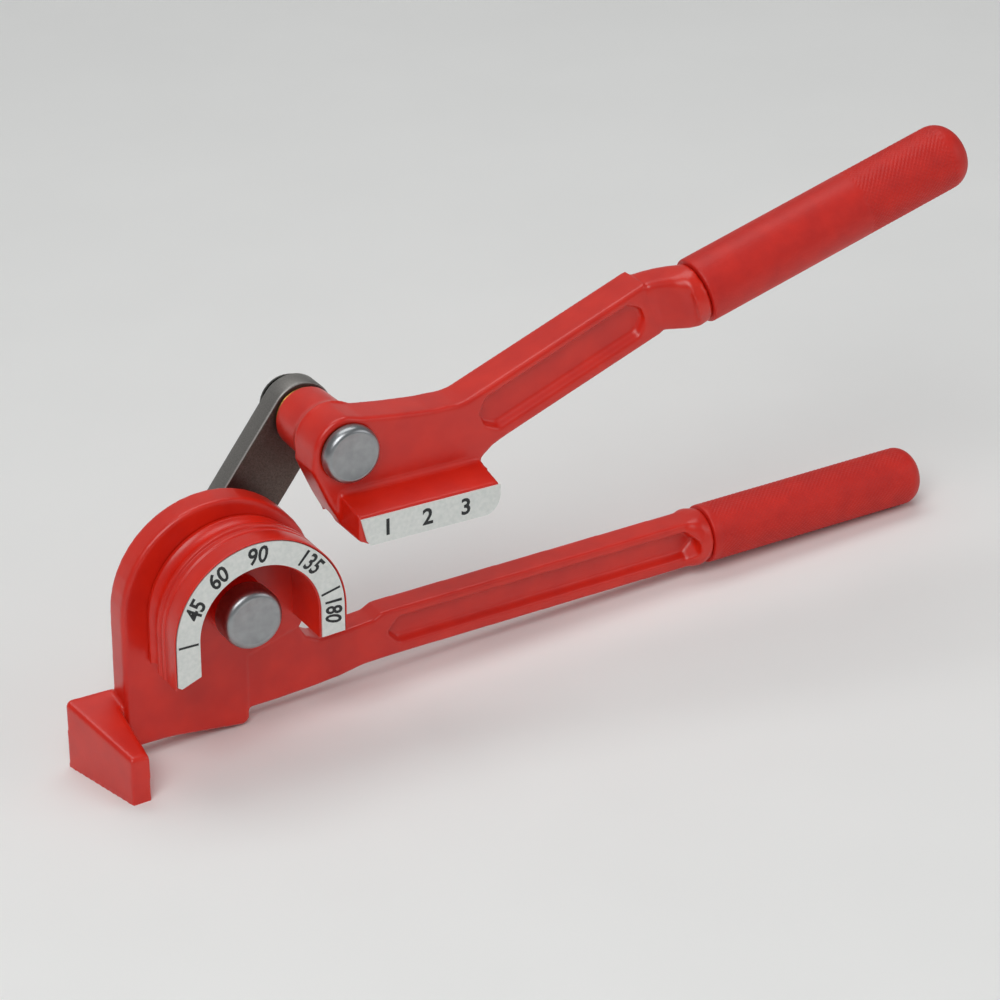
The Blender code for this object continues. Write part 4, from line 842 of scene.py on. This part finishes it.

# %% [markdown]
# ## Stage
# A pale floor that runs up into a pale background, three large soft lights, and a camera at the
# photo's own angle: 30 degrees to the left of the front and 27 degrees up.

# %% Floor, light and camera
# (y, z) of the floor as it runs back and up into the wall, in metres, and its half width
FLOOR_LINE = ((-1.6, 0), (0.9, 0), (1.15, 0.04), (1.32, 0.16), (1.4, 0.36), (1.4, 2.2))
FLOOR_HALF = 2.5
PAPER_CLOUD = 60
AIM = (0, 0, 0.05)
# Name, place, size in metres and watts of each light
LIGHTS = (("key_light", (-0.55, -0.55, 0.95), (0.7, 0.7), 6.4),
          ("fill_light", (0.9, -0.7, 0.55), (0.9, 0.6), 2),
          ("top_light", (0.1, 0.35, 1.1), (0.9, 0.5), 3.4))
SKY_STRENGTH = 0.32


def backdrop():
    """A pale paper floor, outside the size of the object."""
    tool = bmesh.new()
    rows = [[tool.verts.new((x, y, z)) for y, z in FLOOR_LINE] for x in (-FLOOR_HALF, FLOOR_HALF)]
    for i in range(len(FLOOR_LINE) - 1):
        tool.faces.new((rows[0][i], rows[1][i], rows[1][i + 1], rows[0][i + 1]))
    mesh = bpy.data.meshes.new("pale_floor")
    tool.to_mesh(mesh)
    tool.free()
    mesh.shade_smooth()
    mat, tree, shader = new_material("pale_paper", "F2F2F0", 0.8, 0)
    tint(tree, shader, grain(tree, PAPER_CLOUD, 2), "F1F1EF", "F3F3F1")
    mesh.materials.append(mat)
    made = bpy.data.objects.new("pale_floor", mesh)
    bpy.context.scene.collection.objects.link(made)
    made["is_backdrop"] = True
    return made


def area_light(name, place, size, watts):
    """A soft rectangular light that looks at the object."""
    lamp = bpy.data.lights.new(name, "AREA")
    lamp.shape = "RECTANGLE"
    lamp.size, lamp.size_y = size
    lamp.energy = watts
    made = bpy.data.objects.new(name, lamp)
    made.location = place
    made.rotation_euler = (Vector(AIM) - Vector(place)).to_track_quat("-Z", "Y").to_euler()
    bpy.context.scene.collection.objects.link(made)


floor = backdrop()
for light in LIGHTS:
    area_light(*light)
world = bpy.data.worlds.new("pale_world")
bpy.context.scene.world = world
world.use_nodes = True
back = world.node_tree.nodes["Background"]
seen = node(world.node_tree, "ShaderNodeLightPath").outputs["Is Camera Ray"]
tone = node(world.node_tree, "ShaderNodeMix", {"Factor": seen, "A": linear("D8DBDE"), "B": linear("F0F0EE")},
            data_type="RGBA").outputs["Result"]
world.node_tree.links.new(tone, back.inputs["Color"])
back.inputs["Strength"].default_value = SKY_STRENGTH
bpy.context.scene.view_settings.view_transform = "Standard"
print("stage with", len(LIGHTS), "lights")

# %% [markdown]
# ## Camera
# The camera's angle, distance and lens were found from places measured in the photo, in the
# tool frame before the tool leans on its foot.

# %% Camera at the photo's angle
CAMERA_TURN, CAMERA_RISE = math.radians(-30), math.radians(27)
CAMERA_LENS, CAMERA_FILM = 144, 36
# Millimetres from the main axis along the camera's own right, up and back
CAMERA_RIGHT, CAMERA_UP, CAMERA_BACK = 62.66, 33.54, 1040
CAMERA_TRIM = Vector((-0.8, 0, -0.3))
cam_data = bpy.data.cameras.new("camera")
cam_data.lens, cam_data.sensor_width = CAMERA_LENS, CAMERA_FILM
camera = bpy.data.objects.new("camera", cam_data)
bpy.context.scene.collection.objects.link(camera)
right = Vector((math.cos(CAMERA_TURN), math.sin(CAMERA_TURN), 0))
behind = Vector((math.sin(CAMERA_TURN) * math.cos(CAMERA_RISE),
                 -math.cos(CAMERA_TURN) * math.cos(CAMERA_RISE), math.sin(CAMERA_RISE)))
above = behind.cross(right)
place = right * CAMERA_RIGHT + above * CAMERA_UP + behind * CAMERA_BACK + CAMERA_TRIM
axes = Matrix((right, above, behind)).transposed().to_4x4()
lean_turn = Matrix.Rotation(LEAN, 4, "Y")
camera.matrix_world = Matrix.Translation(TOOL @ place) @ lean_turn @ axes
bpy.context.scene.camera = camera
print("camera at", [round(c, 3) for c in camera.matrix_world.translation])

# %% [markdown]
# ## Sizes
# The object's box is printed before and after the dressing. The visible pieces have to stay
# inside the CAD's box.

# %% Sizes before and after
size_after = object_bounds()
for label, box in (("cad box", size_before), ("visual box", size_after)):
    print(label, [[round(v / MM, 1) for v in c] for c in box])
